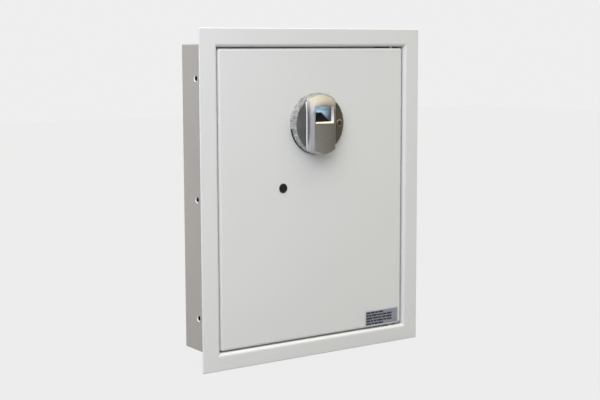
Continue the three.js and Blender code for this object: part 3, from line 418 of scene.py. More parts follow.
def cut(obj, cutters):
    """Takes the cutters out of a piece and removes them."""
    tool = joined(cutters)
    for _ in range(1 + max(polygon.material_index for polygon in obj.data.polygons)):
        obj.data.materials.append(M["paint"])  # a boolean drops the index of a face without a slot
    change = obj.modifiers.new("cut", "BOOLEAN")
    change.operation = "DIFFERENCE"
    change.solver = "EXACT"
    change.object = tool
    seen = obj.evaluated_get(bpy.context.evaluated_depsgraph_get())
    mesh = bpy.data.meshes.new_from_object(seen)
    obj.modifiers.clear()
    obj.data = mesh
    bpy.data.objects.remove(tool)
    settle(obj, 1e-6)
    return obj


def cuboid(name, low, high, corner=0.0, edge=0.0):
    """A block between two points. corner rounds its outline seen from the front, edge its front and rear."""
    x0, y0, z0 = low
    x1, y1, z1 = high
    rings = []
    turns = 4 if edge else 0
    for end, into in ((y0, 1), (y1, -1)):
        arc = []
        for step in range(turns + 1):
            angle = step / max(turns, 1) * math.pi / 2
            inset = edge * (1 - math.sin(angle))
            arc.append(ring(x0 + inset, x1 - inset, z0 + inset, z1 - inset,
                            end + into * edge * (1 - math.cos(angle)), max(corner - inset, 0)))
        rings += arc if into > 0 else arc[::-1]
    return loft(name, rings)


def coat(piece, keys):
    """Gives a piece its finishes. Clearing the list would reset which face has which, so that is kept."""
    polygons = piece.data.polygons
    kept = [0] * len(polygons)
    polygons.foreach_get("material_index", kept)
    piece.data.materials.clear()
    for key in keys:
        piece.data.materials.append(M[key])
    if len(keys) > 1:
        polygons.foreach_set("material_index", [min(k, len(keys) - 1) for k in kept])


def place(piece, *nodes, paint=None):
    """Lets a finer piece stand for its CAD nodes, on their body and with their finish."""
    first = nodes[0]
    coat(piece, paint if isinstance(paint, tuple) else (paint or FINISH_OF_SLOT[SLOT_OF[first]],))
    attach(piece, BODY_OF[first])
    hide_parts(*nodes)
    return piece


def beside(piece, body, paint):
    """Adds a detail that stands for no CAD node of its own."""
    coat(piece, (paint,))
    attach(piece, body)
    return piece


def refine(name, edge=0.25, paint=None, segments=2):
    """A copy of a CAD node with flat faces joined up and edges rounded."""
    source = frame["nodes"][name]
    obj = bpy.data.objects.new(name + "_fine", source.data.copy())
    bpy.context.scene.collection.objects.link(obj)
    work = bmesh.new()
    work.from_mesh(obj.data)
    bmesh.ops.remove_doubles(work, verts=work.verts, dist=1e-6)
    bmesh.ops.dissolve_limit(work, angle_limit=0.01, verts=work.verts, edges=work.edges)
    bmesh.ops.recalc_face_normals(work, faces=work.faces)
    if edge:
        sharp = [e for e in work.edges if len(e.link_faces) == 2 and e.calc_face_angle(0) > SHARP]
        bmesh.ops.bevel(work, geom=sharp, offset=edge * MM, segments=segments, profile=0.5, affect="EDGES",
                        clamp_overlap=True)
    work.to_mesh(obj.data)
    work.free()
    settle(obj, 1e-6)
    return place(flat_sided(obj), name, paint=paint)


def round_part(name, axis, outline, round_off=0.3, sides=64, paint=None, paint_of=None):
    """A turned piece in the box of its CAD node. outline(h) gives its profile in mm, measured from the
    box's middle, where h is half of the box's length along the axis."""
    low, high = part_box(name)
    half = (high - low)["xyz".index(axis)] / 2 / MM
    profile = [(radius * MM, distance * MM) for radius, distance in outline(half)]
    made = lathe(name + "_fine", axis, (low + high) / 2, profile, round_off * MM, sides, paint_of)
    place(made, name, paint=paint)


def eased(value, low, high):
    """0 up to low and 1 from high on, with a smooth start and end between them."""
    t = min(1.0, max(0.0, (value - low) / (high - low)))
    return t * t * (3 - 2 * t)


# ---------------------------------------------------------------- cabinet

flange_low, flange_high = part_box("front_flange")
door_low, door_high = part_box("door_skin")
shell_low, shell_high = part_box("body_wrap")
FRONT = flange_low.y
COLLAR_END = flange_high.y
BEND = 5 * MM
GAP = (2.5 * MM, 2.25 * MM)  # between the door and the trim, sideways and upright
OPENING = (door_low.x - GAP[0], door_high.x + GAP[0], door_low.z - GAP[1], door_high.z + GAP[1])
HINGE = Vector((*JOINTS["door_hinge"]["pos_m"][:2], 0))
NOTCH = 8.5 * MM  # half width of the hinge notch in the collar
SIDE_HOLES = (-176.5 * MM, 0.0, 176.5 * MM)
SIDE_HOLE_Y = FRONT + 44.5 * MM
SIDE_HOLE, SIDE_SINK = 3.75 * MM, 6.75 * MM  # radius of a side hole, and of its sunk rim
PIN, PIN_BORE, PIN_HOLE = 3.0, 3.15, 3.25  # hinge pin, its bush and the door's hole: radius in mm
SPINDLE, SPINDLE_BORE = 4.0, 4.15  # knob spindle and its bush: radius in mm


def opening_ring(out, y):
    """The flange's opening at one depth, made wider all round by out."""
    x0, x1, z0, z1 = OPENING
    return ring(x0 - out, x1 + out, z0 - out, z1 + out, y, 0.3 * MM + max(out, 0) * 0.02, 4)


def bend_rings(radius, reverse=False):
    """The flange's quarter bend into its collar, as rings from the front to the rear."""
    steps = 10
    rings = []
    for step in range(steps + 1):
        angle = step / steps * math.pi / 2
        rings.append(opening_ring(BEND - radius * math.sin(angle), FRONT + BEND - radius * math.cos(angle)))
    return rings[::-1] if reverse else rings


def trim_flange():
    """Flat frame with softened outer edges, bent inwards to a collar with a slot at each hinge."""
    rear = FRONT + STEEL
    soft = 1.2 * MM
    outer = []
    for step in range(6):
        angle = step / 5 * math.pi / 2
        inset = soft * (1 - math.cos(angle))
        outer.append(ring(flange_low.x + inset, flange_high.x - inset, flange_low.z + inset,
                          flange_high.z - inset, FRONT + soft * (1 - math.sin(angle)), 1 * MM, 4))
    back = ring(flange_low.x, flange_high.x, flange_low.z, flange_high.z, rear, 1 * MM, 4)
    profile = [back, *outer, *bend_rings(BEND), opening_ring(0, COLLAR_END - 0.3 * MM),
               opening_ring(0.3 * MM, COLLAR_END), opening_ring(STEEL, COLLAR_END),
               *bend_rings(BEND - STEEL, reverse=True)]
    flange = loft("trim_flange", profile, closed=True)
    tall, behind = 3 * MM, 7 * MM  # how far a slot reaches past the collar, and behind the pin's axis
    cutters = []
    for side, edge in (("low", OPENING[2]), ("high", OPENING[3])):
        cutters.append(cuboid("notch_" + side, (HINGE.x - NOTCH, FRONT + BEND, edge - tall),
                              (HINGE.x + NOTCH, HINGE.y + behind, edge + tall)))
    place(flat_sided(cut(flange, cutters)), "front_flange")


def cabinet_shell():
    """Four folded walls with sunk screw holes, trimmed clear of the flange's bend."""
    front = FRONT + STEEL + TOUCH
    corner, beyond, deep = 2 * MM, 15 * MM, 4 * MM
    x0, x1, z0, z1 = shell_low.x, shell_high.x, shell_low.z, shell_high.z
    inner = (x0 + STEEL, x1 - STEEL, z0 + STEEL, z1 - STEEL)
    shell = loft("cabinet_shell", [
        ring(x0, x1, z0, z1, front, corner, 8), ring(x0, x1, z0, z1, shell_high.y, corner, 8),
        ring(*inner, shell_high.y, corner - STEEL, 8), ring(*inner, front, corner - STEEL, 8)], closed=True)
    room = loft("bend_room", [opening_ring(beyond, FRONT - MM), opening_ring(-MM, FRONT - MM),
                              opening_ring(-MM, FRONT + BEND), opening_ring(0, FRONT + BEND),
                              *bend_rings(BEND - STEEL - TOUCH, reverse=True),
                              opening_ring(beyond, front)], closed=True)
    cut(shell, [room])
    cutters = []
    for side, face in ((-1, x0), (1, x1)):
        for z in SIDE_HOLES:
            profile = [(0, side * MM), (SIDE_SINK, side * MM), (SIDE_HOLE, -side * MM),
                       (SIDE_HOLE, -side * deep), (0, -side * deep)]
            name = "hole_%d_%d" % (side, round(z / MM))
            cutters.append(lathe(name, "x", (face, SIDE_HOLE_Y, z), profile, sides=64))
    cut(shell, cutters)
    place(flat_sided(shell), "body_wrap", paint=("body_paint", "hole_rim"))
    reach = 7 * MM
    for polygon in shell.data.polygons:
        slope = abs(polygon.normal.x)
        near = min(abs(polygon.center.z - z) for z in SIDE_HOLES) < reach
        on_cone = 0.2 < slope < 0.9 and near and abs(polygon.center.y - SIDE_HOLE_Y) < reach
        polygon.material_index = 1 if on_cone else 0


def back_plate():
    low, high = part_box("back_plate")
    place(flat_sided(cuboid("back_panel", low, high, 2 * MM, 0.4 * MM)), "back_plate")


def felt_mat():
    """Felt with an uneven nap: a grid whose top is raised a little by smooth waves."""
    low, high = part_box("floor_mat")
    columns, rows = 120, 14
    verts, faces = [], []
    for level in (0, 1):
        for i in range(columns + 1):
            for j in range(rows + 1):
                x = low.x + (high.x - low.x) * i / columns
                y = low.y + (high.y - low.y) * j / rows
                border = min(i, columns - i, j, rows - j) == 0
                wave = math.sin(i * 1.9) * math.sin(j * 2.3 + i * 0.7)
                top = high.z - (0.5 if border else 0.12 * (1 + wave)) * MM
                verts.append((x, y, top if level else low.z))

    def at(level, i, j):
        return (level * (columns + 1) + i) * (rows + 1) + j

    for i in range(columns):
        for j in range(rows):
            for level in (0, 1):
                faces.append((at(level, i, j), at(level, i + 1, j), at(level, i + 1, j + 1),
                              at(level, i, j + 1)))
    rim = [(i, 0) for i in range(columns)] + [(columns, j) for j in range(rows)]
    rim += [(i, rows) for i in range(columns, 0, -1)] + [(0, j) for j in range(rows, 0, -1)]
    for (i, j), (k, n) in zip(rim, rim[1:] + rim[:1]):
        faces.append((at(0, i, j), at(0, k, n), at(1, k, n), at(1, i, j)))
    place(make("felt_mat", verts, faces), "floor_mat")


trim_flange()
cabinet_shell()
back_plate()
felt_mat()
for part in ("door_stop_upper", "door_stop_lower", "shelf_rail_left", "shelf_rail_right"):
    refine(part, 0.25)
for part in ("shelf_lower", "shelf_upper"):
    refine(part, 0.35, segments=3)
for part, outer in (("hinge_bush_top", 5.75), ("hinge_bush_bottom", 5.75), ("thrust_washer", 5.5)):
    round_part(part, "z", lambda h: [(PIN_BORE, -h), (outer, -h), (outer, h), (PIN_BORE, h)], 0.15)
for part in ("door_buffer_upper", "door_buffer_lower"):
    round_part(part, "y", lambda h: [(0, -h), (2.6, -h), (3.5, -h + 0.9), (3.5, h), (0, h)], 0.5)

# ---------------------------------------------------------------- door

knob_at = Vector(JOINTS["knob_turn"]["pos_m"])
key_at = Vector(JOINTS["key_turn"]["pos_m"])
DOOR_FACE = door_low.y


def door_panel():
    """Folded pan: flat front, rounded edges, and a hollow behind."""
    edge, sheet, rear = 4 * MM, 2 * MM, door_high.y
    x0, x1, z0, z1 = door_low.x, door_high.x, door_low.z, door_high.z
    rings = []
    steps = 10
    for step in range(steps + 1):
        angle = step / steps * math.pi / 2
        inset = edge * (1 - math.sin(angle))
        rings.append(ring(x0 + inset, x1 - inset, z0 + inset, z1 - inset,
                          DOOR_FACE + edge * (1 - math.cos(angle)), edge + TOUCH - inset * 0.9, 8))
    inner = (x0 + sheet, x1 - sheet, z0 + sheet, z1 - sheet)
    rings += [ring(x0, x1, z0, z1, rear, edge + TOUCH, 8), ring(*inner, rear, 1 * MM, 8),
              ring(*inner, DOOR_FACE + sheet, 1 * MM, 8)]
    pan = loft("door_panel", rings)
    deep = 4 * MM
    holes = []
    for name, axis, centre, radius in (
            ("bush_hole", "y", (knob_at.x, DOOR_FACE, knob_at.z), 7 * MM),
            ("key_hole", "y", (key_at.x, DOOR_FACE, key_at.z), 6 * MM),
            ("pin_hole_low", "z", (HINGE.x, HINGE.y, z0), PIN_HOLE * MM),
            ("pin_hole_high", "z", (HINGE.x, HINGE.y, z1), PIN_HOLE * MM)):
        holes.append(lathe(name, axis, centre, [(0, -deep), (radius, -deep), (radius, deep), (0, deep)]))
    place(flat_sided(cut(pan, holes)), "door_skin")


def rating_label():
    """Foil plate with a darker field and five rows of plain bars, which spell nothing."""
    low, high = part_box("rating_label")
    place(cuboid("label_plate", low, high, 1 * MM, 0.08 * MM), "rating_label")
    border, skin = 2.2 * MM, 0.04 * MM
    field_low = Vector((low.x + border, low.y - skin, low.z + border))
    field_high = Vector((high.x - border, low.y + skin, high.z - border))
    beside(cuboid("label_field", field_low, field_high, 0.6 * MM), "door", "field")
    draw = random.Random(11)
    rows, bars, margin = 5, [], 0.8 * MM
    pitch = (field_high.z - field_low.z) / rows
    for row in range(rows):
        x = field_low.x + margin
        z = field_high.z - pitch * (row + 0.5)
        share = 0.55 if row in (0, rows - 1) else 0.84  # the first and last rows are short
        end = field_low.x + (field_high.x - field_low.x) * share
        while x < end:
            wide = min(draw.uniform(4.0, 12.0) * MM, end - x)
            if wide > MM:
                tall = pitch * draw.uniform(0.31, 0.36)
                bars.append(cuboid("bar_%d_%d" % (row, len(bars)), (x, field_low.y - skin, z - tall),
                                   (x + wide, field_low.y + skin / 2, z + tall)))
            x += wide + draw.uniform(0.7, 1.3) * MM
    beside(joined(bars), "door", "ink").name = "label_bars"


def keyhole_cap():
    """Push-in cap: a low dome with a shallow ring, and a stem in the hole."""
    low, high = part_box("keyhole_cap")
    radius = (high.x - low.x) / 2 + 0.4 * MM
    face, rear = low.y - DOOR_FACE, high.y - DOOR_FACE
    seat = -0.06 * MM  # just clear of the door
    stem = 5.6 * MM
    profile = [(0, face + 0.25 * MM), (radius * 0.45, face + 0.22 * MM), (radius * 0.62, face + 0.5 * MM),
               (radius * 0.72, face + 0.1 * MM), (radius - MM, face), (radius, face + 0.8 * MM),
               (radius, seat), (stem, seat), (stem, rear), (0, rear)]
    centre = (key_at.x, DOOR_FACE, key_at.z)
    place(lathe("keyhole_cover", "y", centre, profile, 0.25 * MM), "keyhole_cap")


door_panel()
rating_label()
keyhole_cap()
for part in ("hinge_block_top", "hinge_block_bottom", "bolt_guide", "solenoid_frame"):
    refine(part, 0.3)
for part in ("hinge_pin_top", "hinge_pin_bottom"):
    round_part(part, "z", lambda h: [(0, -h), (PIN, -h), (PIN, h), (0, h)], 0.5)
for part in ("guide_post_upper", "guide_post_lower"):  # a foot, a neck in the bolt bar's slot, and a head
    round_part(part, "y", lambda h: [(0, -h), (5, -h), (5, h - 4.35), (3, h - 4.35), (3, h - 1.9),
                                     (5.5, h - 1.9), (5.5, h), (0, h)])
round_part("spindle_bush", "y", lambda h: [
    (SPINDLE_BORE, -h), (6.75, -h), (6.75, -h + 1.75), (11, -h + 1.75), (11, -h + 3.25), (6.75, -h + 3.25),
    (6.75, h), (SPINDLE_BORE, h)], 0.2)
round_part("key_barrel", "y", lambda h: [
    (4.1, -h), (9, -h), (9, -h + 2), (6.75, -h + 2), (6.75, h), (4.1, h)], 0.25)

# ---------------------------------------------------------------- knob and fingerprint reader

knob_low, knob_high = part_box("knob_rim")
grip_low, grip_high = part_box("knob_grip")
KNOB_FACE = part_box("knob_disc")[0].y
GRIP_HEIGHT = KNOB_FACE - grip_low.y
GRIP_HALF = (grip_high.x - grip_low.x) / 2
GRIP_BELOW = knob_at.z - grip_low.z
GRIP_ABOVE = grip_high.z - knob_at.z
DOME = 18.75 * MM  # how far in from the grip's top its dome starts
DISC_EDGE = 42.45 * MM  # the grip's bead flares no further than this radius
WINDOW_MORE = 2.4 * MM  # added to the reader's right side
BEAD_POINTS = 7  # points round the quarter bead in half of the grip's cross-section


def knob_ring():
    """Tapered ring with fine flutes that fade out at its two edges, and a foot painted near black on its low
    side as painted shade.
    """
    face = knob_low.y - DOOR_FACE
    foot = knob_high.y - DOOR_FACE
    base, top = (knob_high.x - knob_low.x) / 2, 43.75 * MM
    inner = top - 1 * MM
    lip = -2 * MM  # where the taper ends and the straight foot begins
    rows = 8
    slope = [(top + (base - top) * t / rows, face + (lip - face) * t / rows) for t in range(rows + 1)]
    profile = [(inner, face), (inner + 0.35 * MM, face), *slope, (base, foot), (inner, foot)]

    def flutes(angle, distance):
        share = min(1.0, max(0.0, (distance - face - 0.4 * MM) / MM), max(0.0, (lip - distance) / MM))
        wave = math.cos(72 * angle) + 0.6 * math.cos(47 * angle + 1.0) + 0.4 * math.cos(113 * angle + 2.0)
        return -0.3 * MM * share * (2 + wave)

    centre = (knob_at.x, DOOR_FACE, knob_at.z)
    sides, foot_row = 720, 2 + rows

    # The foot's low side is painted near black: painted shade where the ring meets the door.
    def paint(row, k):
        low = math.cos(2 * math.pi * k / sides) < -0.15
        return 1 if low and row >= foot_row - 1 else 0

    made = lathe("knob_ring", "y", centre, profile, sides=sides, flutes=flutes, paint_of=paint)
    place(made, "knob_rim", paint=("ring_silver", "foot_painted_shade"))


def knob_face():
    """Dark face with a softly turned edge, hollow behind, with a hub round the spindle."""
    low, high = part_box("knob_disc")
    radius = (high.x - low.x) / 2
    face, back = low.y - DOOR_FACE, high.y - DOOR_FACE
    shell = face + 3 * MM
    soft, rim, hub, bore = 0.4 * MM, radius - 2.5 * MM, 9 * MM, SPINDLE_BORE * MM
    profile = [(0, face), (radius - soft, face), (radius, face + soft), (radius, back), (rim, back),
               (rim, shell), (hub, shell), (hub, back), (bore, back), (bore, shell), (0, shell)]
    place(lathe("knob_face", "y", (knob_at.x, DOOR_FACE, knob_at.z), profile, sides=192), "knob_disc")


def section_points(draft, shoulder, share):
    """Half of the grip's cross-section from base to middle: (inset from the side, share of height).
    A bead stands out at the foot. The wall leans in by draft up to a share of the height, then rolls over
    to the shoulder."""
    stands_out, bead_top, wall_foot, step_in = 0.85 * MM, 0.10, 0.12, 0.35 * MM
    bead = [(-stands_out * math.cos(a), bead_top * math.sin(a))
            for a in (i * math.pi / 12 for i in range(BEAD_POINTS))]
    wall = [(step_in + draft * t, wall_foot + (share - wall_foot) * t) for t in (i / 6 for i in range(7))]
    start = wall[-1][0]
    roll = []
    for step in range(1, 15):
        t = step / 14
        roll.append((start + (shoulder - start) * t, share + (1 - share) * math.sin(t * math.pi / 2)))
    return bead + wall + roll


def half_chord(radius, z):
    """Half of a circle's width at height z."""
    return math.sqrt(max(radius ** 2 - z * z, 0.0))


def window_box(name):
    """The box of a piece of the reader, carried on to the right to fill the grip's wider side."""
    low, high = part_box(name)
    return low, high + Vector((WINDOW_MORE, 0, 0))


def grip_fall(x, z):
    """Share of the grip's full height at a place: above the middle it is a dome to the knob's edge."""
    from_middle = math.hypot(x, z)
    start = GRIP_ABOVE - DOME
    if z < 0 or from_middle < start:
        return 1.0
    return math.sqrt(max(1 - ((from_middle - start) / DOME) ** 1.5, 0.0))


def grip():
    """Thumb grip: one section carried up the knob, under a dome at the top, ending on the knob's round.
    The bead along its foot flares out near the top, and the right side is wider than the left."""
    halves = (section_points(2.15 * MM, 7.6 * MM, 0.68), section_points(1.75 * MM, 6.5 * MM, 0.6))
    flat, stations = 16, 150
    soft = 1.5 * MM  # rounding along the grip's lower end
    rings = []
    for i in range(stations + 1):
        z = (GRIP_ABOVE - GRIP_BELOW - (GRIP_ABOVE + GRIP_BELOW) * math.cos(math.pi * i / stations)) / 2
        foot = z + GRIP_BELOW
        tall = GRIP_HEIGHT
        if foot < soft:
            tall += math.sqrt(max(foot * (2 * soft - foot), 0)) - soft
        flare = 1 + 1.6 * eased(z, 20 * MM, 32 * MM)
        extra = (0.6 + 1.2 * eased(z, -20 * MM, 10 * MM)) * MM
        sides = []
        for half, more in zip(halves, (0, extra)):
            limit = min(GRIP_HALF + more, half_chord(GRIP_ABOVE if z > 0 else GRIP_BELOW, z))
            widest = max(limit, half_chord(DISC_EDGE, z))
            side = []
            for k, (inset, share) in enumerate(half):
                if k < BEAD_POINTS:
                    inset *= flare
                side.append((min(max(limit - inset, 0.0), widest), share))
            inner = side[-1][0]
            sides.append(side + [(inner * (1 - (n + 1) / flat), 1.0) for n in range(flat - 1)])
        points = [(-x, share) for x, share in sides[0]] + [(x, share) for x, share in sides[1][::-1]]
        ring_points = []
        for x, share in points:
            height = tall * max(grip_fall(x, z), 0.004)
            ring_points.append((knob_at.x + x, KNOB_FACE - height * share, knob_at.z + z))
        rings.append(ring_points)
    last = len(rings[0]) - 1

    # The bead's faces get the near-white finish, a painted highlight along the grip's foot.
    def paint(i, k):
        return 1 if k < BEAD_POINTS - 1 or last - BEAD_POINTS < k < last else 0

    made = loft("thumb_grip", rings, paint_of=paint)
    low, high = window_box("sensor_bezel")
    pocket = cuboid("pocket", (low.x - TOUCH, grip_low.y - 6 * MM, low.z - TOUCH),
                    (high.x + TOUCH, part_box("sensor_glass")[1].y, high.z + TOUCH), 0.6 * MM)
    place(cut(made, [pocket]), "knob_grip", paint=("cast_silver", "bead"))


def bezel():
    """Bright frame whose inner bevel falls to the glass: narrow at the left and top, wide elsewhere."""
    low, high = window_box("sensor_bezel")
    top, rear = low.y, high.y
    narrow, wide = 0.7 * MM, 3.0 * MM
    lip = 0.25 * MM

    def at(share, inset, y, rounding):
        left = up = inset + narrow * share
        right = down = inset + wide * share
        return ring(low.x + left, high.x - right, low.z + down, high.z - up, y, rounding)

    corner = 1.2 * MM  # of the window
    rings = [at(0, 0, rear, 0.6 * MM), at(0, 0, top + 0.2 * MM, 0.6 * MM), at(0, 0.12 * MM, top, 0.5 * MM),
             at(0, lip, top, 0.7 * MM)]
    for step in range(1, 9):
        t = step / 8
        depth = top + (rear - top) * (0.04 + 0.9 * t)
        rings.append(at(math.sin(t * math.pi / 2) ** 1.2, lip, depth, corner))
    rings.append(at(1, lip, rear, corner))
    place(loft("reader_frame", rings, closed=True), "sensor_bezel")


def reader_window():
    low, high = window_box("sensor_glass")
    place(cuboid("reader_window", low, high, 0.4 * MM, 0.2 * MM), "sensor_glass")


def status_light():
    """A small metal collar round a dark lens with a shallow bowl in it."""
    low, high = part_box("status_ring")
    centre = Vector(((low.x + high.x) / 2, high.y, (low.z + high.z) / 2))
    outer, inner = 5.5 * MM, 3.75 * MM
    profile = [(inner, 0), (outer, 0), (outer, -0.6 * MM), (outer - 0.75 * MM, -1.25 * MM),
               (inner + 0.3 * MM, -1.25 * MM), (inner, -0.7 * MM)]
    place(lathe("status_collar", "y", centre, profile, 0.25 * MM, 64), "status_ring", paint="status_bronze")
    low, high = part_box("status_lens")
    radius = (high.x - low.x) / 2
    bowl = [(0, 0.35 * MM), (radius * 0.5, 0.2 * MM), (radius * 0.85, 0.0), (radius, 0.0),
            (radius, high.y - low.y), (0, high.y - low.y)]
    place(lathe("status_window", "y", (centre.x, low.y, centre.z), bowl, 0, 64), "status_lens", paint="lens")


knob_ring()
knob_face()
grip()
bezel()
reader_window()
status_light()
round_part("knob_spindle", "y", lambda h: [(0, -h), (SPINDLE, -h), (SPINDLE, h), (0, h)], 0.5)
refine("drive_crank", 0.3)

# ---------------------------------------------------------------- bolt work and key lock

refine("bolt_bar", 0.3)
for part in ("bolt_lower", "bolt_middle", "bolt_upper"):
    round_part(part, "x", lambda h: [(0, -h), (5.6, -h), (7, -h + 1.6), (7, h), (0, h)], 0.5, 96)
round_part("solenoid_plunger", "z", lambda h: [
    (0, -h), (3, -h), (3, -h + 31.5), (5.5, -h + 31.5), (5.5, -h + 33), (3, -h + 33), (3, h), (0, h)])


def plunger_spring():
    """Round-wire coil that stands on the solenoid and rides on the door; this mesh does not shorten when the
    plunger is pulled in.
    """
    low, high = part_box("plunger_spring")
    centre = (low + high) / 2
    wire, coil, turns = 0.5 * MM, 4.25 * MM, 5  # radius of the wire and of the coil
    steps, sides = turns * 48, 16
    rings = []
    rise = high.z - low.z - 2 * wire
    for i in range(steps + 1):
        t = i / steps
        angle = 2 * math.pi * turns * t
        out = Vector((math.cos(angle), math.sin(angle), 0))
        heart = Vector((centre.x, centre.y, low.z + wire + rise * t)) + out * coil
        rings.append([heart + (out * math.cos(a) + Vector((0, 0, 1)) * math.sin(a)) * wire
                      for a in (2 * math.pi * k / sides for k in range(sides))])
    made = place(loft("coil_spring", rings), "plunger_spring")
    made.parent = None  # its foot stays on the solenoid, so it rides on the door
    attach(made, "door")
    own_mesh(made)


plunger_spring()


def key_plug():
    """Brass plug with a slit for the key."""
    low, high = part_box("key_plug")
    half, radius = (high.y - low.y) / 2, 3.95 * MM
    made = lathe("plug_core", "y", (key_at.x, low.y + half, key_at.z),
                 [(0, -half), (radius, -half), (radius, half), (0, half)], 0.3 * MM, 64)
    wide, tall, deep = 0.6 * MM, 3 * MM, 9.75 * MM  # half width, half height and depth of the slit
    slit = cuboid("slit", (key_at.x - wide, low.y - MM, key_at.z - tall),
                  (key_at.x + wide, low.y + deep, key_at.z + tall))
    place(cut(made, [slit]), "key_plug")


key_plug()
refine("key_cam", 0.25)

# ---------------------------------------------------------------- rear cover and electronics

for part in ("mechanism_cover", "battery_box", "battery_lid"):
    refine(part, 0.3)


def cover_screw(name):
    """Pan head with a cross recess."""
    low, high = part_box(name)
    centre = (low + high) / 2
    half = (high.y - low.y) / 2
    neck = half - 2 * MM
    profile = [(0, -half), (3 * MM, -half), (3 * MM, neck), (4.75 * MM, neck), (4.6 * MM, half - 0.9 * MM),
               (3.6 * MM, half - 0.2 * MM), (1.8 * MM, half), (0, half)]
    made = lathe(name + "_fine", "y", centre, profile, 0.25 * MM, 64)
    deep, arm, slim = 1.1 * MM, 2.3 * MM, 0.45 * MM
    for bar, wide, tall in (("slot", arm, slim), ("cross", slim, arm)):
        cut(made, [cuboid(bar, (centre.x - wide, high.y - deep, centre.z - tall),
                          (centre.x + wide, high.y + MM, centre.z + tall))])
    place(made, name)


for i in range(4):
    cover_screw("cover_screw_%d" % (i + 1))


def circuit_board():
    """The board with black parts standing on a green face."""
    made = refine("circuit_board", 0.12, paint=("board", "chip"))
    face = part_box("circuit_board")[0].y + 5.6 * MM
    for polygon in made.data.polygons:
        polygon.material_index = 1 if polygon.center.y > face else 0


circuit_board()
for part in ("reader_cable", "battery_cable"):
    refine(part, 0)
round_part("reset_button", "y", lambda h: [
    (0, -h), (1.5, -h), (1.5, h - 5), (5.5, h - 5), (5.5, h - 3.5), (4, h - 3.5), (4, h - 0.6), (2.8, h),
    (0, h)])


def cell_outline(h):
    """A round cell whose terminal stands 1.5 mm above its top."""
    top = h - 1.5
    return [(0, -h), (5.6, -h), (7.1, -h + 0.8), (7.1, top - 14), (7.1, top - 0.8), (5.8, top), (2.75, top),
            (2.75, h), (0, h)]


def cell_paint(row, k):
    """Bare steel at both ends, a copper band below the top, and a blue sleeve."""
    return 2 if row in (0, 5, 6, 7) else 1 if row in (3, 4) else 0


for i in range(4):
    round_part("battery_cell_%d" % (i + 1), "z", cell_outline, 0, paint=("sleeve", "band", "steel"),
               paint_of=cell_paint)

# ---------------------------------------------------------------- stage, light and camera


def floor_tone():
    """Shows nearly the backdrop's tone to the camera, so that only a faint contact shadow is seen, and
    throws back less light than that tone would."""
    material = finish("floor_tone", (0.20, 0.20, 0.20), 0.8, grain=40, bump=0.02, tint=0.01)
    tree = material.node_tree
    shader = tree.nodes["Principled BSDF"]
    glow = node(tree, "Emission", Color=rgba((0.885, 0.885, 0.885)), Strength=1.0)
    seen = math_node(tree, "MULTIPLY", node(tree, "LightPath").outputs["Is Camera Ray"], 0.93)
    mix = node(tree, "MixShader", _0=seen, _1=shader.outputs[0], _2=glow.outputs[0])
    tree.links.new(mix.outputs[0], tree.nodes["Material Output"].inputs["Surface"])
    return material


def stage():
    """The floor, just under the flange's lower edge."""
    reach, drop = 6.0, 1 * MM
    z = flange_low.z - drop
    mesh = bpy.data.meshes.new("floor")
    mesh.from_pydata([(-reach, -reach, z), (reach, -reach, z), (reach, reach, z), (-reach, reach, z)], [],
                     [(0, 1, 2, 3)])
    floor = bpy.data.objects.new("floor", mesh)
    bpy.context.scene.collection.objects.link(floor)
    floor.data.materials.append(floor_tone())


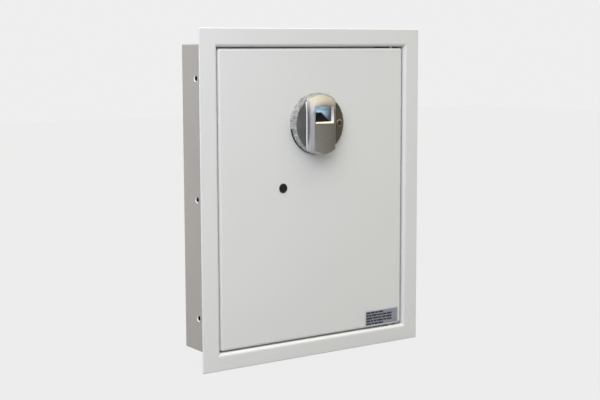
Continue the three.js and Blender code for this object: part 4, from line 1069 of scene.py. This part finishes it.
def world():
    """The camera sees a pale backdrop. Surfaces are lit by a plain soft studio, bright above and on the
    left, and mirror a room that is cream above, lilac on the left and dim in front on the right."""
    made = bpy.data.worlds.new("studio")
    bpy.context.scene.world = made
    made.use_nodes = True
    tree = made.node_tree
    tree.nodes.clear()
    way = node(tree, "SeparateXYZ", Vector=node(tree, "TexCoord").outputs["Generated"])
    above = math_node(tree, "POWER", span(tree, way.outputs[2], 0.0, 1.0, 0.0, 1.0), 3.0)
    left = span(tree, way.outputs[0], 0.1, -1.0, 0.0, 1.0)
    plain = blend_colors(tree, left, rgba((0.222, 0.219, 0.212)), rgba((0.43, 0.442, 0.47)))
    soft = blend_colors(tree, above, plain, rgba((3.0, 2.93, 2.65)))
    high = span(tree, way.outputs[2], -0.02, 0.50, 0.0, 1.0)
    side = span(tree, way.outputs[0], 0.15, -0.45, 0.0, 1.0)
    dim = blend_colors(tree, side, rgba((0.09, 0.085, 0.08)), rgba((0.87, 0.90, 1.14)))
    room = blend_colors(tree, high, dim, rgba((1.36, 1.24, 0.95)))
    path = node(tree, "LightPath").outputs
    lit = blend_colors(tree, path["Is Glossy Ray"], soft, room)
    view = blend_colors(tree, path["Is Camera Ray"], lit, rgba((0.86, 0.86, 0.86)))
    shown = node(tree, "Background", Color=view, Strength=1.0)
    output = tree.nodes.new("ShaderNodeOutputWorld")
    tree.links.new(shown.outputs[0], output.inputs["Surface"])


def lamp(name, at, target, size, watts, color):
    """A soft lamp that lights the object but isn't mirrored in its metal."""
    data = bpy.data.lights.new(name, "AREA")
    data.shape = "RECTANGLE"
    data.size, data.size_y = size
    data.energy = watts
    data.color = color
    obj = bpy.data.objects.new(name, data)
    bpy.context.scene.collection.objects.link(obj)
    obj.location = at
    obj.rotation_euler = (Vector(target) - Vector(at)).to_track_quat("-Z", "Y").to_euler()
    obj.visible_glossy = False


def camera():
    """Long lens from the left, a little above the middle. The angles, place and lens come from a pin-hole fit
    to the flange's edges, the door gap and the cabinet's side."""
    yaw, pitch, roll = math.radians(34.702), math.radians(7.0), math.radians(-0.19)
    at, lens, sensor = (-1.0719, -1.5890, 0.2181), 73.77, 36
    ahead = Vector((math.sin(yaw) * math.cos(pitch), math.cos(yaw) * math.cos(pitch), -math.sin(pitch)))
    right = Vector((math.cos(yaw), -math.sin(yaw), 0))
    up = right.cross(ahead)
    rolled = right * math.cos(roll) + up * math.sin(roll)
    upright = up * math.cos(roll) - right * math.sin(roll)
    data = bpy.data.cameras.new("camera")
    data.lens, data.sensor_width = lens, sensor
    obj = bpy.data.objects.new("camera", data)
    bpy.context.scene.collection.objects.link(obj)
    turn = Matrix((rolled, upright, -ahead)).transposed().to_4x4()
    obj.matrix_world = Matrix.Translation(at) @ turn
    bpy.context.scene.camera = obj


stage()
world()
lamp("key", (-0.98, -0.93, 0.90), (0, 0, 0.05), (1.0, 1.0), 12.4, (0.93, 0.975, 1.06))
lamp("cool", (-1.1, -1.0, -0.25), (0, 0, -0.05), (0.8, 0.8), 1.5, (0.75, 0.95, 1.35))
lamp("fill", (1.5, -1.3, 0.2), (0, 0, 0), (0.8, 0.8), 2.2, (1.0, 0.88, 0.70))
camera()
bpy.context.scene.view_settings.view_transform = "Standard"
